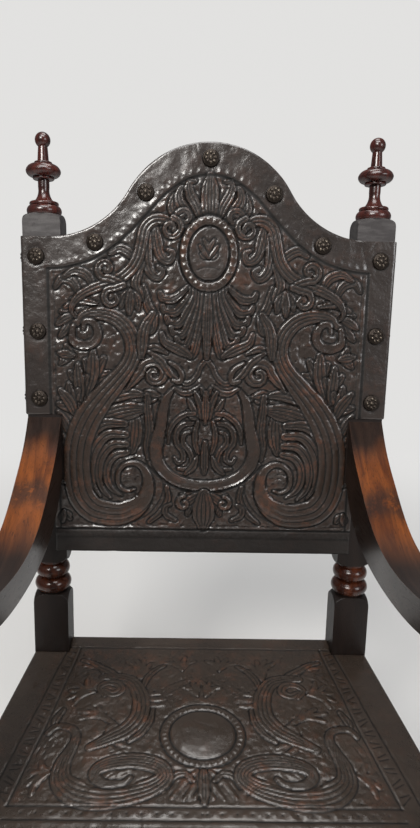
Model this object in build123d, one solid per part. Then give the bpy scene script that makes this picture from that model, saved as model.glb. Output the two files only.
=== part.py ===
"""A joined armchair with a tooled-leather back and seat, in millimetres.

X runs to the right when facing the chair, Y to its back and Z up. The pieces are drawn about the
middle of the front plane of the rear posts, and then moved together so that the whole chair stands on
Z = 0, centred on X and Y.
"""
from build123d import *
from math import asin, atan2, cos, degrees, hypot, radians, sin, sqrt, tan
import os

# ---- overall places ------------------------------------------------------------------------------
SEAT_H = 460.0            # top of the seat leather above the floor
RAKE = radians(10.6)      # lean of the back above the seat
POST_SPREAD = 503.0       # between the centre lines of the two rear posts
FRONT_SPREAD = 586.0      # between the centre lines of the two front posts
FRONT_REACH = 318.0       # from the rear posts' front plane to the front posts' centre line

# ---- fits ----------------------------------------------------------------------------------------
JOINT_GAP = 0.15          # clearance round a tenon, a spigot, a peg or a nail's shank
LEATHER_GAP = 0.3         # clearance between cut leather and the wood beside it
LEATHER_T = 3.0           # thickness of the hides
ROOT = 4.0                # how far a tenon or a turning is drawn back into its own piece

# ---- rear posts (heights along the post, from the seat) ------------------------------------------
POST_W = 57.0
POST_D = 46.0
POST_BLOCK_TOP = 102.0    # top of the square block above the seat
POST_UPPER_FOOT = 158.0   # foot of the square upper length
POST_TOP = 712.0
POMMEL_H = 18.0           # height of a rear post's turned shoulder
POMMEL_NECK_R = 23.0
POST_TOP_POMMEL_H = 14.4
POST_TOP_POMMEL_R = 25.5
POMMEL_ARC = (0.72, 0.66) # middle of a shoulder's arc, as shares of its radii and of its height
RING_LOW_V = 116.0
RING_LOW_R = 29.5
RING_HIGH_V = 141.5
RING_HIGH_R = 28.0
RING_H = 24.0
RING_NECK_R = 20.0

# ---- finials (heights above the post's top) ------------------------------------------------------
FINIAL_SPIGOT_R = 8.0
FINIAL_SPIGOT_L = 28.0
FINIAL_BASE_R = 24.5      # at its foot
FINIAL_BASE_H = 13.0
FINIAL_BASE_BULGE = 2.8
FINIAL_SHOULDER_R = 22.0  # at the top of the base ring
FINIAL_FILLET_R = 19.5
FINIAL_FILLET_H = 6.0
FINIAL_FILLET_BULGE = 2.4
FINIAL_STEM_FOOT_R = 15.0
FINIAL_STEM_R = 8.5
FINIAL_STEM_H = 32.0
FINIAL_FLARE_H = 21.0     # height of the stem's flared foot
FINIAL_FLARE_BULGE = 2.6
FINIAL_UNDER_COLLAR_R = 15.0
FINIAL_COLLAR_R = 12.5
FINIAL_COLLAR_H = 3.5
FINIAL_COLLAR_BULGE = 1.0
FINIAL_DISC_R = 26.0
FINIAL_DISC_H = 18.5
FINIAL_RIM_H = 9.0        # of the disc's rim above its underside
FINIAL_DISC_BULGE = 3.2
FINIAL_NECK_FOOT_R = 8.5
FINIAL_NECK_R = 7.0
FINIAL_NECK_H = 22.0
FINIAL_BALL_R = 11.5

# ---- back frame (heights along the posts, from the seat) -----------------------------------------
CREST_DROP = 34.0         # level shoulder over the posts, below their top
CREST_END_H = 78.0        # height of the crest rail at its ends
ARCH_RISE = 137.0         # top of the arch above the shoulder
CREST_R = 140.0           # radius of the arch and of the two hollows beside it
CREST_T = 24.0
LOWER_RAIL_V = 183.0
LOWER_RAIL_H = 58.0
LOWER_RAIL_T = 25.0
RAIL_INSET = 8.0          # rear rails lie this far behind the rear posts' front plane at the seat
TENON_T = 12.0
TENON_L = 28.0
TENON_WALL = 6.0          # wood left between two tenons that meet in a rear post
FRONT_TENON_L = 23.0      # of the front seat rail
TENON_SHOULDER = 9.0      # how much lower than its rail a tenon is, at each edge

# ---- back leather --------------------------------------------------------------------------------
BACK_FOOT_W = 480.0       # width below the arms
WRAP_D = 41.0             # how far it is wrapped round the posts' outer sides
FOLD_D = 22.0             # how far it is folded under the lower rail
ARM_CLEAR = 3.0           # between the arms and the leather's cut edges

# ---- arms (heights above the seat) ---------------------------------------------------------------
ARM_W = 52.0
ARM_BOW_R = 2000.0        # radius of the arm's outward bow in plan
ARM_HEAD_V = 404.0        # where the arm's top and underside meet the rear post, along the post
ARM_FOOT_V = 307.0
ARM_DROP = 0.93           # fall of the arm per millimetre forward where it leaves the post
ARM_TOP = [(40, 363), (-20, 323), (-85, 287), (-155, 275), (-225, 284), (-300, 299)]
ARM_UNDER = [(20, 270), (-20, 248), (-85, 233), (-155, 231), (-225, 240)]
SCROLL_R = 37.0
SCROLL_Y = -388.0
SCROLL_Z = 264.0
ARM_SEAT_Z = 253.0        # flat under the arm where the front post carries it
ARM_TENON_T = 20.0
ARM_TENON_H = 52.0
ARM_SPIGOT_R = 10.0
ARM_SPIGOT_L = 22.0

# ---- front posts (heights above the floor) -------------------------------------------------------
FRONT_W = 56.0
FRONT_POMMEL_H = 14.0
FRONT_CORE_R = 21.0
FRONT_SLIM_R = 17.0       # where a turning meets a block or a bead
FOOT_R = 31.0             # at its widest
FOOT_SWELL = 10.0
FOOT_H = 36.0
ANKLE_H = 16.0            # between the foot and the low block
ANKLE_R = 16.0
LOW_BLOCK_H = 76.0        # round the side stretcher
MID_BLOCK_H = 66.0        # round the front stretcher
SEAT_BLOCK_BELOW = 92.0   # below the top of the seat
SEAT_BLOCK_ABOVE = 10.0
BEAD_H = 17.0
BEAD_BULGE = 7.0
BEAD_SEAT = 4.0           # plain neck between a block and its beads
COVE_H = 6.0
NECK_R = 15.0
BELLY_R = 23.0
BELLY_BULGE = 6.0
COVE_BULGE = 1.5          # how deep a short cove is hollowed
VASE_COVE = 5.0
SHIN_BELLY_DROP = 28.0    # below the middle block
VASE_NECK_H = 14.0        # heights above the beads over the seat block
VASE_BELLY_H = 66.0
VASE_TOP_H = 98.0
CAP_BEAD_H = 14.0         # bead under the arm
CAP_TOP_H = 20.0          # from the cap bead's foot to the arm
CAP_NECK_H = 10.0
CAP_COVE_H = 6.0

# ---- seat frame ----------------------------------------------------------------------------------
SEAT_RAIL_H = 72.0
SEAT_RAIL_T = 26.0
SKIRT_H = 56.0            # how far the seat leather hangs down over the rails
REAR_SKIRT_H = 30.0
STRAP_W = 50.0
STRAP_T = 2.0
STRAP_TAB_H = 36.0
LONG_STRAPS_X = (-156.0, -52.0, 52.0, 156.0)
CROSS_STRAPS_Y = (-58.0, -152.0, -246.0)

# ---- stretchers (heights above the floor) --------------------------------------------------------
SIDE_STRETCHER_Z = 96.0
SIDE_STRETCHER_H = 34.0
SIDE_STRETCHER_T = 24.0
MIDDLE_STRETCHER_H = 28.0
MIDDLE_STRETCHER_T = 22.0
MIDDLE_STRETCHER_Y = -145.0
MIDDLE_TENON_L = 14.0
REAR_STRETCHER_Z = 210.0
REAR_STRETCHER_H = 42.0
REAR_STRETCHER_T = 24.0
FRONT_STRETCHER_Z = 269.0
FRONT_STRETCHER_R = 17.0
FRONT_STRETCHER_END_R = 13.0
FRONT_STRETCHER_RING_R = 24.0
FRONT_STRETCHER_TENON_R = 10.0
FRONT_STRETCHER_TENON_L = 22.0
FRONT_STRETCHER_COLLAR_W = 8.0
FRONT_STRETCHER_COLLAR_R = 15.0
FRONT_STRETCHER_BEAD_W = 14.0
FRONT_STRETCHER_SWELL = 110.0       # thickest this far from each end
FRONT_STRETCHER_RING_W = 24.0       # two rings at the middle
FRONT_STRETCHER_GROOVE_W = 8.0
FRONT_STRETCHER_SIDE_BEAD_W = 16.0
FRONT_STRETCHER_BEAD_BULGE = 5.5
FRONT_STRETCHER_SWELL_BULGE = 2.0

# ---- nails, tacks and pegs -----------------------------------------------------------------------
NAIL_R = 13.0
NAIL_DOME_H = 6.5
NAIL_SHANK_R = 1.6
NAIL_SHANK_L = 18.0
CREST_NAIL_INSET = 23.0   # crest nails below the arched edge
ARCH_NAIL_TURN = radians(54.5)      # of the nail on the arch, from its top
HOLLOW_NAIL_TURN = radians(25.2)    # of the nail in the hollow, from its lowest point
POST_NAIL_INSET = 20.0    # from the outer side of the post
POST_NAIL_END = 29.0      # from the shoulder to the highest, and from the arm to the lowest
POST_NAIL_SAG = 4.0       # how far the middle one sits below halfway
SEAT_NAIL_DROP = 30.0     # seat nails below the top of the seat leather
SEAT_NAIL_PITCH = 76.0
TACK_R = 4.5
TACK_DOME_H = 2.0
TACK_SHANK_R = 1.0
TACK_SHANK_L = 11.0
TACK_PITCH = 60.0
PEG_R = 4.0
PEG_INSET = 12.0          # from the shoulder of a joint to its pegs
PEG_STAGGER = 9.0         # side pegs above and cross pegs below the middle of the seat rails
PEG_L = 38.0
FAR = 1500.0              # longer than anything here, for cutting tools

SIDES = {"left": -1, "right": 1}
crest_shoulder = POST_TOP - CREST_DROP
crest_foot = crest_shoulder - CREST_END_H
crest_top = crest_shoulder + ARCH_RISE
post_x = POST_SPREAD / 2
post_outer = post_x + POST_W / 2
post_inner = post_x - POST_W / 2
side_tenon_x = post_outer - LEATHER_T - SEAT_RAIL_T / 2
front_x = FRONT_SPREAD / 2
front_outer = front_x + FRONT_W / 2
front_inner = front_x - FRONT_W / 2
front_back_y = -FRONT_REACH + FRONT_W / 2
front_face_y = -FRONT_REACH - FRONT_W / 2
rail_top = SEAT_H - LEATHER_T
rail_foot = rail_top - SEAT_RAIL_H
low_block = (SIDE_STRETCHER_Z - LOW_BLOCK_H / 2, SIDE_STRETCHER_Z + LOW_BLOCK_H / 2)
mid_block = (FRONT_STRETCHER_Z - MID_BLOCK_H / 2, FRONT_STRETCHER_Z + MID_BLOCK_H / 2)
seat_block = (SEAT_H - SEAT_BLOCK_BELOW, SEAT_H + SEAT_BLOCK_ABOVE)
flare = (front_outer - post_outer) / -front_back_y
arm_tenon_v = (ARM_HEAD_V + ARM_FOOT_V) / 2
arm_start_y = ARM_HEAD_V * sin(RAKE)
parts = {}


# ---- shared helpers ------------------------------------------------------------------------------
def span(x, y, z):
    """A box from three (low, high) pairs."""
    sizes = [high - low for low, high in (x, y, z)]
    middle = [(low + high) / 2 for low, high in (x, y, z)]
    return Pos(*middle) * Box(*sizes)


def mirrored(solid):
    return mirror(solid, about=Plane.YZ)


def for_side(solid, side):
    """The solid drawn on the right, or its mirror image."""
    return solid if side > 0 else mirrored(solid)


def turned(start, steps):
    """A turning about Z. A step is (radius, height, bulge), and a bulge bows the line outwards."""
    edges = [Line((0, start[1]), start)]
    here = start
    for radius, height, bulge in steps:
        there = (radius, height)
        if bulge:
            run = hypot(radius - here[0], height - here[1])
            middle = ((here[0] + radius) / 2 + bulge * (height - here[1]) / run,
                      (here[1] + height) / 2 - bulge * (radius - here[0]) / run)
            edges.append(ThreePointArc(here, middle, there))
        else:
            edges.append(Line(here, there))
        here = there
    if here[0] > 0:
        edges.append(Line(here, (0, here[1])))
    edges.append(Line((0, here[1]), (0, start[1])))
    return revolve(Plane.XZ * make_face(edges), Axis.Z)


def pommel_cutter(full, neck, corner_r, neck_r):
    """Cuts a square block to a turned shoulder between the heights full and neck."""
    outer = 2 * corner_r
    beyond = neck + (neck - full)
    out, up = POMMEL_ARC
    middle = (neck_r + out * (corner_r - neck_r), full + up * (neck - full))
    edges = [ThreePointArc((corner_r, full), middle, (neck_r, neck)),
             Line((neck_r, neck), (neck_r, beyond)), Line((neck_r, beyond), (outer, beyond)),
             Line((outer, beyond), (outer, full)), Line((outer, full), (corner_r, full))]
    return revolve(Plane.XZ * make_face(edges), Axis.Z)


def raked_frame(x=0.0):
    """Z up along the raked posts from the seat, Y through them, zero on their front plane."""
    return Location(Plane(origin=(x, 0, SEAT_H), x_dir=(1, 0, 0), z_dir=(0, sin(RAKE), cos(RAKE))))


def along(start, end):
    """A location at start whose Z axis points to end."""
    start, end = Vector(*start), Vector(*end)
    return Location(Plane(origin=start, z_dir=end - start))


def rod(start, end, radius):
    length = (Vector(*end) - Vector(*start)).length
    return along(start, end) * Pos(0, 0, length / 2) * Cylinder(radius, length)


def nail(head_r, dome_h, shank_r, shank_l):
    """A domed nail whose head sits on Z = 0 and whose shank points down."""
    ball_r = (head_r ** 2 + dome_h ** 2) / (2 * dome_h)
    bulge = ball_r - sqrt(ball_r ** 2 - (head_r ** 2 + dome_h ** 2) / 4)
    return turned((shank_r, -shank_l), [(shank_r, 0, 0), (head_r, 0, 0), (0, dome_h, bulge)])


def nail_hole(at, shank_r, shank_l):
    length = shank_l + 2 * LEATHER_T
    return at * Pos(0, 0, LEATHER_T - shank_l / 2) * Cylinder(shank_r + JOINT_GAP, length)


def cut_all(body, tools):
    for tool in tools:
        body = body - tool
    return body


# ---- back outline --------------------------------------------------------------------------------
def crest_points():
    """The arch's centre, the hollow's centre and the point where the two arcs meet."""
    arch = (0.0, crest_top - CREST_R)
    rise = crest_shoulder + CREST_R - arch[1]
    hollow = (sqrt((2 * CREST_R) ** 2 - rise ** 2), crest_shoulder + CREST_R)
    meet = ((arch[0] + hollow[0]) / 2, (arch[1] + hollow[1]) / 2)
    return arch, hollow, meet


def arc_through(centre, radius, start, end):
    """The shorter arc about centre from start to end."""
    first = atan2(start[1] - centre[1], start[0] - centre[0])
    last = atan2(end[1] - centre[1], end[0] - centre[0])
    half = (first + last) / 2
    middle = (centre[0] + radius * cos(half), centre[1] + radius * sin(half))
    return ThreePointArc(start, middle, end)


def crest_edges(half_width):
    """The right half of the arched top, from the middle out to half_width."""
    arch, hollow, meet = crest_points()
    edges = [arc_through(arch, CREST_R, (0, crest_top), meet)]
    if half_width < hollow[0]:
        low = hollow[1] - sqrt(CREST_R ** 2 - (hollow[0] - half_width) ** 2)
        edges.append(arc_through(hollow, CREST_R, meet, (half_width, low)))
        return edges, (half_width, low)
    edges.append(arc_through(hollow, CREST_R, meet, (hollow[0], crest_shoulder)))
    edges.append(Line((hollow[0], crest_shoulder), (half_width, crest_shoulder)))
    return edges, (half_width, crest_shoulder)


def upright_sheet(edges, front, back):
    """A mirrored sheet from the edges of its right half, between two depths in the raked frame."""
    half = extrude(Plane.XZ * make_face(edges), -(back - front))
    half = Pos(0, front, 0) * half
    return half + mirrored(half)


# ---- places of fastenings ------------------------------------------------------------------------
def post_nail_heights():
    """Of the nails on each rear post, along the post from the seat, from the highest down."""
    high, low = crest_shoulder - POST_NAIL_END, ARM_HEAD_V + POST_NAIL_END
    return (high, (high + low) / 2 - POST_NAIL_SAG, low)


def crest_nail_spots():
    """(x, height) of the nails beside the middle one: on the arch and in the hollow."""
    arch, hollow, _ = crest_points()
    inner, outer = CREST_R - CREST_NAIL_INSET, CREST_R + CREST_NAIL_INSET
    return [(arch[0] + inner * sin(ARCH_NAIL_TURN), arch[1] + inner * cos(ARCH_NAIL_TURN)),
            (hollow[0] - outer * sin(HOLLOW_NAIL_TURN), hollow[1] - outer * cos(HOLLOW_NAIL_TURN))]


def back_nail_places():
    spots = crest_nail_spots() + [(post_outer - POST_NAIL_INSET, v) for v in post_nail_heights()]
    spots = [(0, crest_top - CREST_NAIL_INSET)] + [(side * u, v) for u, v in spots for side in (-1, 1)]
    return [raked_frame(u) * Pos(0, -LEATHER_T, v) * Rot(90, 0, 0) for u, v in spots]


def side_nail_places(side):
    outer = side * (post_outer + LEATHER_T)
    return [raked_frame(outer) * Pos(0, POST_D / 2, v) * Rot(0, side * 90, 0)
            for v in post_nail_heights()]


def seat_front_nail_places():
    count = int((2 * front_inner - 2 * NAIL_R) // SEAT_NAIL_PITCH)
    first = -count * SEAT_NAIL_PITCH / 2
    return [Pos(first + i * SEAT_NAIL_PITCH, front_face_y, SEAT_H - SEAT_NAIL_DROP) * Rot(90, 0, 0)
            for i in range(count + 1)]


def side_face(y):
    """Outer X of the side skirt at y."""
    return post_outer - flare * y


def seat_side_nail_places(side):
    run = -front_back_y
    count = int((run - 2 * NAIL_R) // SEAT_NAIL_PITCH)
    first = -(run - count * SEAT_NAIL_PITCH) / 2
    turn = degrees(atan2(flare, 1))
    places = []
    for i in range(count + 1):
        y = first - i * SEAT_NAIL_PITCH
        spot = Pos(side * side_face(y), y, SEAT_H - SEAT_NAIL_DROP)
        places.append(spot * Rot(0, 0, side * turn) * Rot(0, side * 90, 0))
    return places


def back_tack_places():
    count = int((2 * post_inner - TACK_PITCH) // TACK_PITCH)
    first = -count * TACK_PITCH / 2
    foot = LOWER_RAIL_V - LEATHER_T
    return [raked_frame(first + i * TACK_PITCH) * Pos(0, FOLD_D - 2 * TACK_R, foot) * Rot(180, 0, 0)
            for i in range(count + 1)]


def seat_tack_places():
    count = int((2 * post_inner - TACK_PITCH) // TACK_PITCH)
    first = -count * TACK_PITCH / 2
    face = RAIL_INSET + SEAT_RAIL_T + LEATHER_T
    drop = SEAT_H - REAR_SKIRT_H + 2 * TACK_R
    return [Pos(first + i * TACK_PITCH, face, drop) * Rot(-90, 0, 0) for i in range(count + 1)]


def strap_tack_places():
    places = []
    z = rail_top - STRAP_TAB_H + 2 * TACK_R
    for x in LONG_STRAPS_X:
        for offset in (-STRAP_W / 4, STRAP_W / 4):
            places.append(Pos(x + offset, RAIL_INSET - STRAP_T, z) * Rot(90, 0, 0))
            front = front_face_y + LEATHER_T + SEAT_RAIL_T + STRAP_T
            places.append(Pos(x + offset, front, z) * Rot(-90, 0, 0))
    turn = degrees(atan2(flare, 1))
    for y in CROSS_STRAPS_Y:
        for offset in (-STRAP_W / 4, STRAP_W / 4):
            for side in (-1, 1):
                x = side_face(y + offset) - LEATHER_T - SEAT_RAIL_T - STRAP_T
                spot = Pos(side * x, y + offset, z) * Rot(0, 0, side * turn)
                places.append(spot * Rot(0, -side * 90, 0))
    return places


def tenon_z(middle, height):
    return (middle - height / 2 + TENON_SHOULDER, middle + height / 2 - TENON_SHOULDER)


# ---- pegs ----------------------------------------------------------------------------------------
def post_point(x, depth, v):
    return tuple((raked_frame(x) * Pos(0, depth, v)).position)


def back_peg_lines():
    """From the posts' rear face through the crest rail's and the lower rail's tenons."""
    crest_v = (crest_foot + crest_shoulder) / 2
    heights = (LOWER_RAIL_V + LOWER_RAIL_H / 2, crest_v - PEG_INSET, crest_v + PEG_INSET)
    return [(post_point(x, POST_D, v), post_point(x, POST_D - PEG_L, v))
            for x in (-post_inner - PEG_INSET, post_inner + PEG_INSET) for v in heights]


def arm_peg_lines():
    """From the posts' outer side through the arms' tenons."""
    return [(post_point(side * post_outer, PEG_INSET, arm_tenon_v),
             post_point(side * (post_outer - PEG_L), PEG_INSET, arm_tenon_v)) for side in (-1, 1)]


def side_peg_lines(z):
    """From the outer side of the posts through the tenons of a piece that runs along a side."""
    ends = [(post_outer, PEG_INSET), (front_outer, front_back_y - PEG_INSET)]
    return [((side * x, y, z), (side * (x - PEG_L), y, z)) for side in (-1, 1) for x, y in ends]


def cross_peg_lines(rear_z, front_z):
    """From the rear and from the front through the tenons of a rear and a front piece."""
    rear, front = post_inner + PEG_INSET, front_inner + PEG_INSET
    lines = [((side * rear, POST_D, rear_z), (side * rear, POST_D - PEG_L, rear_z)) for side in (-1, 1)]
    return lines + [((side * front, front_face_y, front_z), (side * front, front_face_y + PEG_L, front_z))
                    for side in (-1, 1)]


seat_mid_z = rail_top - SEAT_RAIL_H / 2
peg_lines = {
    "back_pegs": back_peg_lines(),
    "arm_pegs": arm_peg_lines(),
    "seat_pegs": (side_peg_lines(seat_mid_z + PEG_STAGGER)
                  + cross_peg_lines(seat_mid_z - PEG_STAGGER, seat_mid_z - PEG_STAGGER)),
    "stretcher_pegs": (side_peg_lines(SIDE_STRETCHER_Z)
                       + cross_peg_lines(REAR_STRETCHER_Z, FRONT_STRETCHER_Z)),
}
peg_holes = [rod(start, end, PEG_R + JOINT_GAP) for lines in peg_lines.values() for start, end in lines]


# ---- back: crest rail, lower rail ----------------------------------------------------------------
def rail_tenons(depth, heights, grow=0.0):
    """Two tenons beyond the ends of a rail between the rear posts, short of the side rails' tenons."""
    y = (depth[0] - grow, depth[1] + grow)
    z = (heights[0] - grow, heights[1] + grow)
    reach = side_tenon_x - TENON_T / 2 - TENON_WALL + grow
    return [span((post_inner - ROOT, reach), y, z), span((-reach, ROOT - post_inner), y, z)]


crest_tenon_y = ((CREST_T - TENON_T) / 2, (CREST_T + TENON_T) / 2)
crest_tenon_z = (crest_foot + TENON_SHOULDER, crest_shoulder - TENON_SHOULDER)
lower_tenon_y = ((LOWER_RAIL_T - TENON_T) / 2, (LOWER_RAIL_T + TENON_T) / 2)
lower_tenon_z = tenon_z(LOWER_RAIL_V + LOWER_RAIL_H / 2, LOWER_RAIL_H)
rear_rail_y = (RAIL_INSET, RAIL_INSET + SEAT_RAIL_T)
rear_tenon_y = (RAIL_INSET + (SEAT_RAIL_T - TENON_T) / 2, RAIL_INSET + (SEAT_RAIL_T + TENON_T) / 2)
seat_tenon_z = tenon_z(rail_top - SEAT_RAIL_H / 2, SEAT_RAIL_H)
rear_stretcher_y = (RAIL_INSET, RAIL_INSET + REAR_STRETCHER_T)
rear_stretcher_tenon_y = (RAIL_INSET + (REAR_STRETCHER_T - TENON_T) / 2,
                          RAIL_INSET + (REAR_STRETCHER_T + TENON_T) / 2)
rear_stretcher_z = (REAR_STRETCHER_Z - REAR_STRETCHER_H / 2, REAR_STRETCHER_Z + REAR_STRETCHER_H / 2)
rear_stretcher_tenon_z = tenon_z(REAR_STRETCHER_Z, REAR_STRETCHER_H)


def crest_rail():
    top, end = crest_edges(post_inner)
    edges = top + [Line(end, (post_inner, crest_foot)), Line((post_inner, crest_foot), (0, crest_foot)),
                   Line((0, crest_foot), (0, crest_top))]
    rail = upright_sheet(edges, 0, CREST_T)
    for tenon in rail_tenons(crest_tenon_y, crest_tenon_z):
        rail = rail + tenon
    rail = raked_frame() * rail
    holes = [nail_hole(at, NAIL_SHANK_R, NAIL_SHANK_L) for at in back_nail_places()]
    return cut_all(rail, holes + peg_holes)


def lower_back_rail():
    rail = span((-post_inner, post_inner), (0, LOWER_RAIL_T), (LOWER_RAIL_V, LOWER_RAIL_V + LOWER_RAIL_H))
    for tenon in rail_tenons(lower_tenon_y, lower_tenon_z):
        rail = rail + tenon
    rail = raked_frame() * rail
    holes = [nail_hole(at, TACK_SHANK_R, TACK_SHANK_L) for at in back_tack_places()]
    return cut_all(rail, holes + peg_holes)


# ---- arms ----------------------------------------------------------------------------------------
def bow_x(y, outer=True):
    """X of the arm's outer or inner side at y."""
    sag = ARM_BOW_R - sqrt(ARM_BOW_R ** 2 - (arm_start_y - y) ** 2)
    return post_outer + sag - (0 if outer else ARM_W)


def arm_tenon(grow=0.0):
    """The tenon of the right arm in the raked frame."""
    middle = post_outer - ARM_W / 2
    half = ARM_TENON_T / 2 + grow
    height = ARM_TENON_H / 2 + grow
    return span((middle - half, middle + half), (-ROOT, TENON_L + grow),
                (arm_tenon_v - height, arm_tenon_v + height))


def arm_post_x():
    """X of the middle of the arm over the front post."""
    return (bow_x(-FRONT_REACH) + bow_x(-FRONT_REACH, outer=False)) / 2


def arm_start(v):
    """A point behind the rear post's front plane from which the arm leaves it at v along the post."""
    run = POST_D / 2
    return (v * sin(RAKE) + run, SEAT_H + v * cos(RAKE) + run * ARM_DROP)


def arm_profile():
    """The side view of the arm: a sweep down from the post, a flat for the front post and a scroll."""
    top = [arm_start(ARM_HEAD_V)] + [(y, SEAT_H + z) for y, z in ARM_TOP]
    under = [arm_start(ARM_FOOT_V)] + [(y, SEAT_H + z) for y, z in ARM_UNDER]
    scroll_z, seat = SEAT_H + SCROLL_Z, SEAT_H + ARM_SEAT_Z
    crown, nose = (SCROLL_Y, scroll_z + SCROLL_R), (SCROLL_Y - SCROLL_R, scroll_z)
    chin = (SCROLL_Y, scroll_z - SCROLL_R)
    throat = (SCROLL_Y + sqrt(SCROLL_R ** 2 - (scroll_z - seat) ** 2), seat)
    cheek = SCROLL_R * sqrt(0.5)
    pad = (-FRONT_REACH + FRONT_W / 2, seat)
    return make_face([
        Spline(*top, crown, tangents=((-1, -ARM_DROP), (-1, 0))), ThreePointArc(crown, nose, chin),
        ThreePointArc(chin, (SCROLL_Y + cheek, scroll_z - cheek), throat), Line(throat, pad),
        Spline(pad, *under[::-1], tangents=((1, 0), (1, ARM_DROP))), Line(under[0], top[0])])


def arm_plan():
    """The top view of the arm: a strip of even width on an arc."""
    back, tip = arm_start_y + POST_D, SCROLL_Y - SCROLL_R - ROOT
    stations = (back, (back + tip) / 2, tip)
    outer = [(bow_x(y), y) for y in stations]
    inner = [(bow_x(y, outer=False), y) for y in stations]
    return make_face([ThreePointArc(*outer), Line(outer[2], inner[2]), ThreePointArc(*inner[::-1]),
                      Line(inner[0], outer[0])])


def arm(side):
    body = extrude(Plane.YZ * arm_profile(), FAR) & extrude(arm_plan(), FAR)
    body = body - raked_frame() * span((0, FAR), (0, FAR), (0, FAR))
    body = body + raked_frame() * arm_tenon()
    x = arm_post_x()
    socket = SEAT_H + ARM_SEAT_Z + ARM_SPIGOT_L + JOINT_GAP
    body = body - rod((x, -FRONT_REACH, 0), (x, -FRONT_REACH, socket), ARM_SPIGOT_R + JOINT_GAP)
    return cut_all(for_side(body, side), peg_holes)


# ---- posts ---------------------------------------------------------------------------------------
def post_bend(low, high):
    """The rear post's square section from the floor height low to the height high along the rake."""
    s, c, t = sin(RAKE), cos(RAKE), tan(RAKE / 2)
    outline = [(0, low), (0, SEAT_H), (high * s, SEAT_H + high * c),
               (high * s + POST_D * c, SEAT_H + high * c - POST_D * s), (POST_D, SEAT_H - POST_D * t),
               (POST_D, low)]
    face = Plane.YZ * make_face(Polyline(*outline, close=True))
    return Pos(post_inner, 0, 0) * extrude(face, POST_W)


def rear_post(side):
    axis = raked_frame(post_x) * Pos(0, POST_D / 2, 0)
    corner = hypot(POST_W, POST_D) / 2
    lower = post_bend(0, POST_BLOCK_TOP)
    lower = lower - axis * pommel_cutter(POST_BLOCK_TOP - POMMEL_H, POST_BLOCK_TOP, corner, POMMEL_NECK_R)
    upper = span((-POST_W / 2, POST_W / 2), (-POST_D / 2, POST_D / 2), (POST_UPPER_FOOT, POST_TOP))
    upper = upper - pommel_cutter(POST_UPPER_FOOT + POMMEL_H, POST_UPPER_FOOT, corner, POMMEL_NECK_R)
    upper = upper - pommel_cutter(POST_TOP - POST_TOP_POMMEL_H, POST_TOP, corner, POST_TOP_POMMEL_R)
    half = RING_H / 2
    groove = (RING_LOW_V + RING_HIGH_V) / 2
    rings = turned((RING_NECK_R, POST_BLOCK_TOP - ROOT), [
        (RING_NECK_R + 1, RING_LOW_V - half, 0), (RING_NECK_R, groove, RING_LOW_R - RING_NECK_R),
        (RING_NECK_R, RING_HIGH_V + half, RING_HIGH_R - RING_NECK_R),
        (RING_NECK_R, POST_UPPER_FOOT + ROOT, 0)])
    post = lower + axis * upper + axis * rings
    post = post - axis * rod((0, 0, POST_TOP - FINIAL_SPIGOT_L - JOINT_GAP), (0, 0, POST_TOP + ROOT),
                             FINIAL_SPIGOT_R + JOINT_GAP)
    raked = rail_tenons(crest_tenon_y, crest_tenon_z, JOINT_GAP)
    raked += rail_tenons(lower_tenon_y, lower_tenon_z, JOINT_GAP) + [arm_tenon(JOINT_GAP)]
    post = cut_all(post, [raked_frame() * tool for tool in raked])
    post = cut_all(post, rail_tenons(rear_tenon_y, seat_tenon_z, JOINT_GAP))
    post = cut_all(post, rail_tenons(rear_stretcher_tenon_y, rear_stretcher_tenon_z, JOINT_GAP))
    post = cut_all(post, [seat_side_tenons(JOINT_GAP)[0], side_stretcher_tenons(JOINT_GAP)[0]])
    nails = back_nail_places() + side_nail_places(1)
    holes = [nail_hole(at, NAIL_SHANK_R, NAIL_SHANK_L) for at in nails]
    return for_side(cut_all(post, holes + peg_holes), side)


def finial(side):
    """Turned from the spigot up: base ring, fillet, stem, collar, disc, collar, neck and ball."""
    z = POST_TOP
    steps = [(FINIAL_SPIGOT_R, z, 0), (FINIAL_BASE_R, z, 0)]
    z += FINIAL_BASE_H
    steps += [(FINIAL_SHOULDER_R, z, FINIAL_BASE_BULGE), (FINIAL_FILLET_R, z, 0)]
    z += FINIAL_FILLET_H
    steps += [(FINIAL_FILLET_R, z, FINIAL_FILLET_BULGE), (FINIAL_STEM_FOOT_R, z, 0)]
    steps.append((FINIAL_STEM_R, z + FINIAL_FLARE_H, -FINIAL_FLARE_BULGE))
    z += FINIAL_STEM_H
    steps += [(FINIAL_STEM_R, z, 0), (FINIAL_UNDER_COLLAR_R, z, 0)]
    z += FINIAL_COLLAR_H
    steps.append((FINIAL_UNDER_COLLAR_R, z, FINIAL_COLLAR_BULGE))
    steps.append((FINIAL_DISC_R, z + FINIAL_RIM_H, FINIAL_DISC_BULGE))
    z += FINIAL_DISC_H
    steps.append((FINIAL_COLLAR_R, z, FINIAL_DISC_BULGE))
    z += FINIAL_COLLAR_H
    steps += [(FINIAL_COLLAR_R, z, FINIAL_COLLAR_BULGE), (FINIAL_NECK_FOOT_R, z, 0)]
    z += FINIAL_NECK_H
    steps.append((FINIAL_NECK_R, z, 0))
    lift = sqrt(FINIAL_BALL_R ** 2 - FINIAL_NECK_R ** 2)
    middle = z + lift
    steps.append((FINIAL_BALL_R, middle, FINIAL_BALL_R * (1 - cos(asin(lift / FINIAL_BALL_R) / 2))))
    steps.append((0, middle + FINIAL_BALL_R, FINIAL_BALL_R * (1 - cos(radians(45)))))
    solid = turned((FINIAL_SPIGOT_R, POST_TOP - FINIAL_SPIGOT_L), steps)
    return for_side(raked_frame(post_x) * Pos(0, POST_D / 2, 0) * solid, side)


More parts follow.
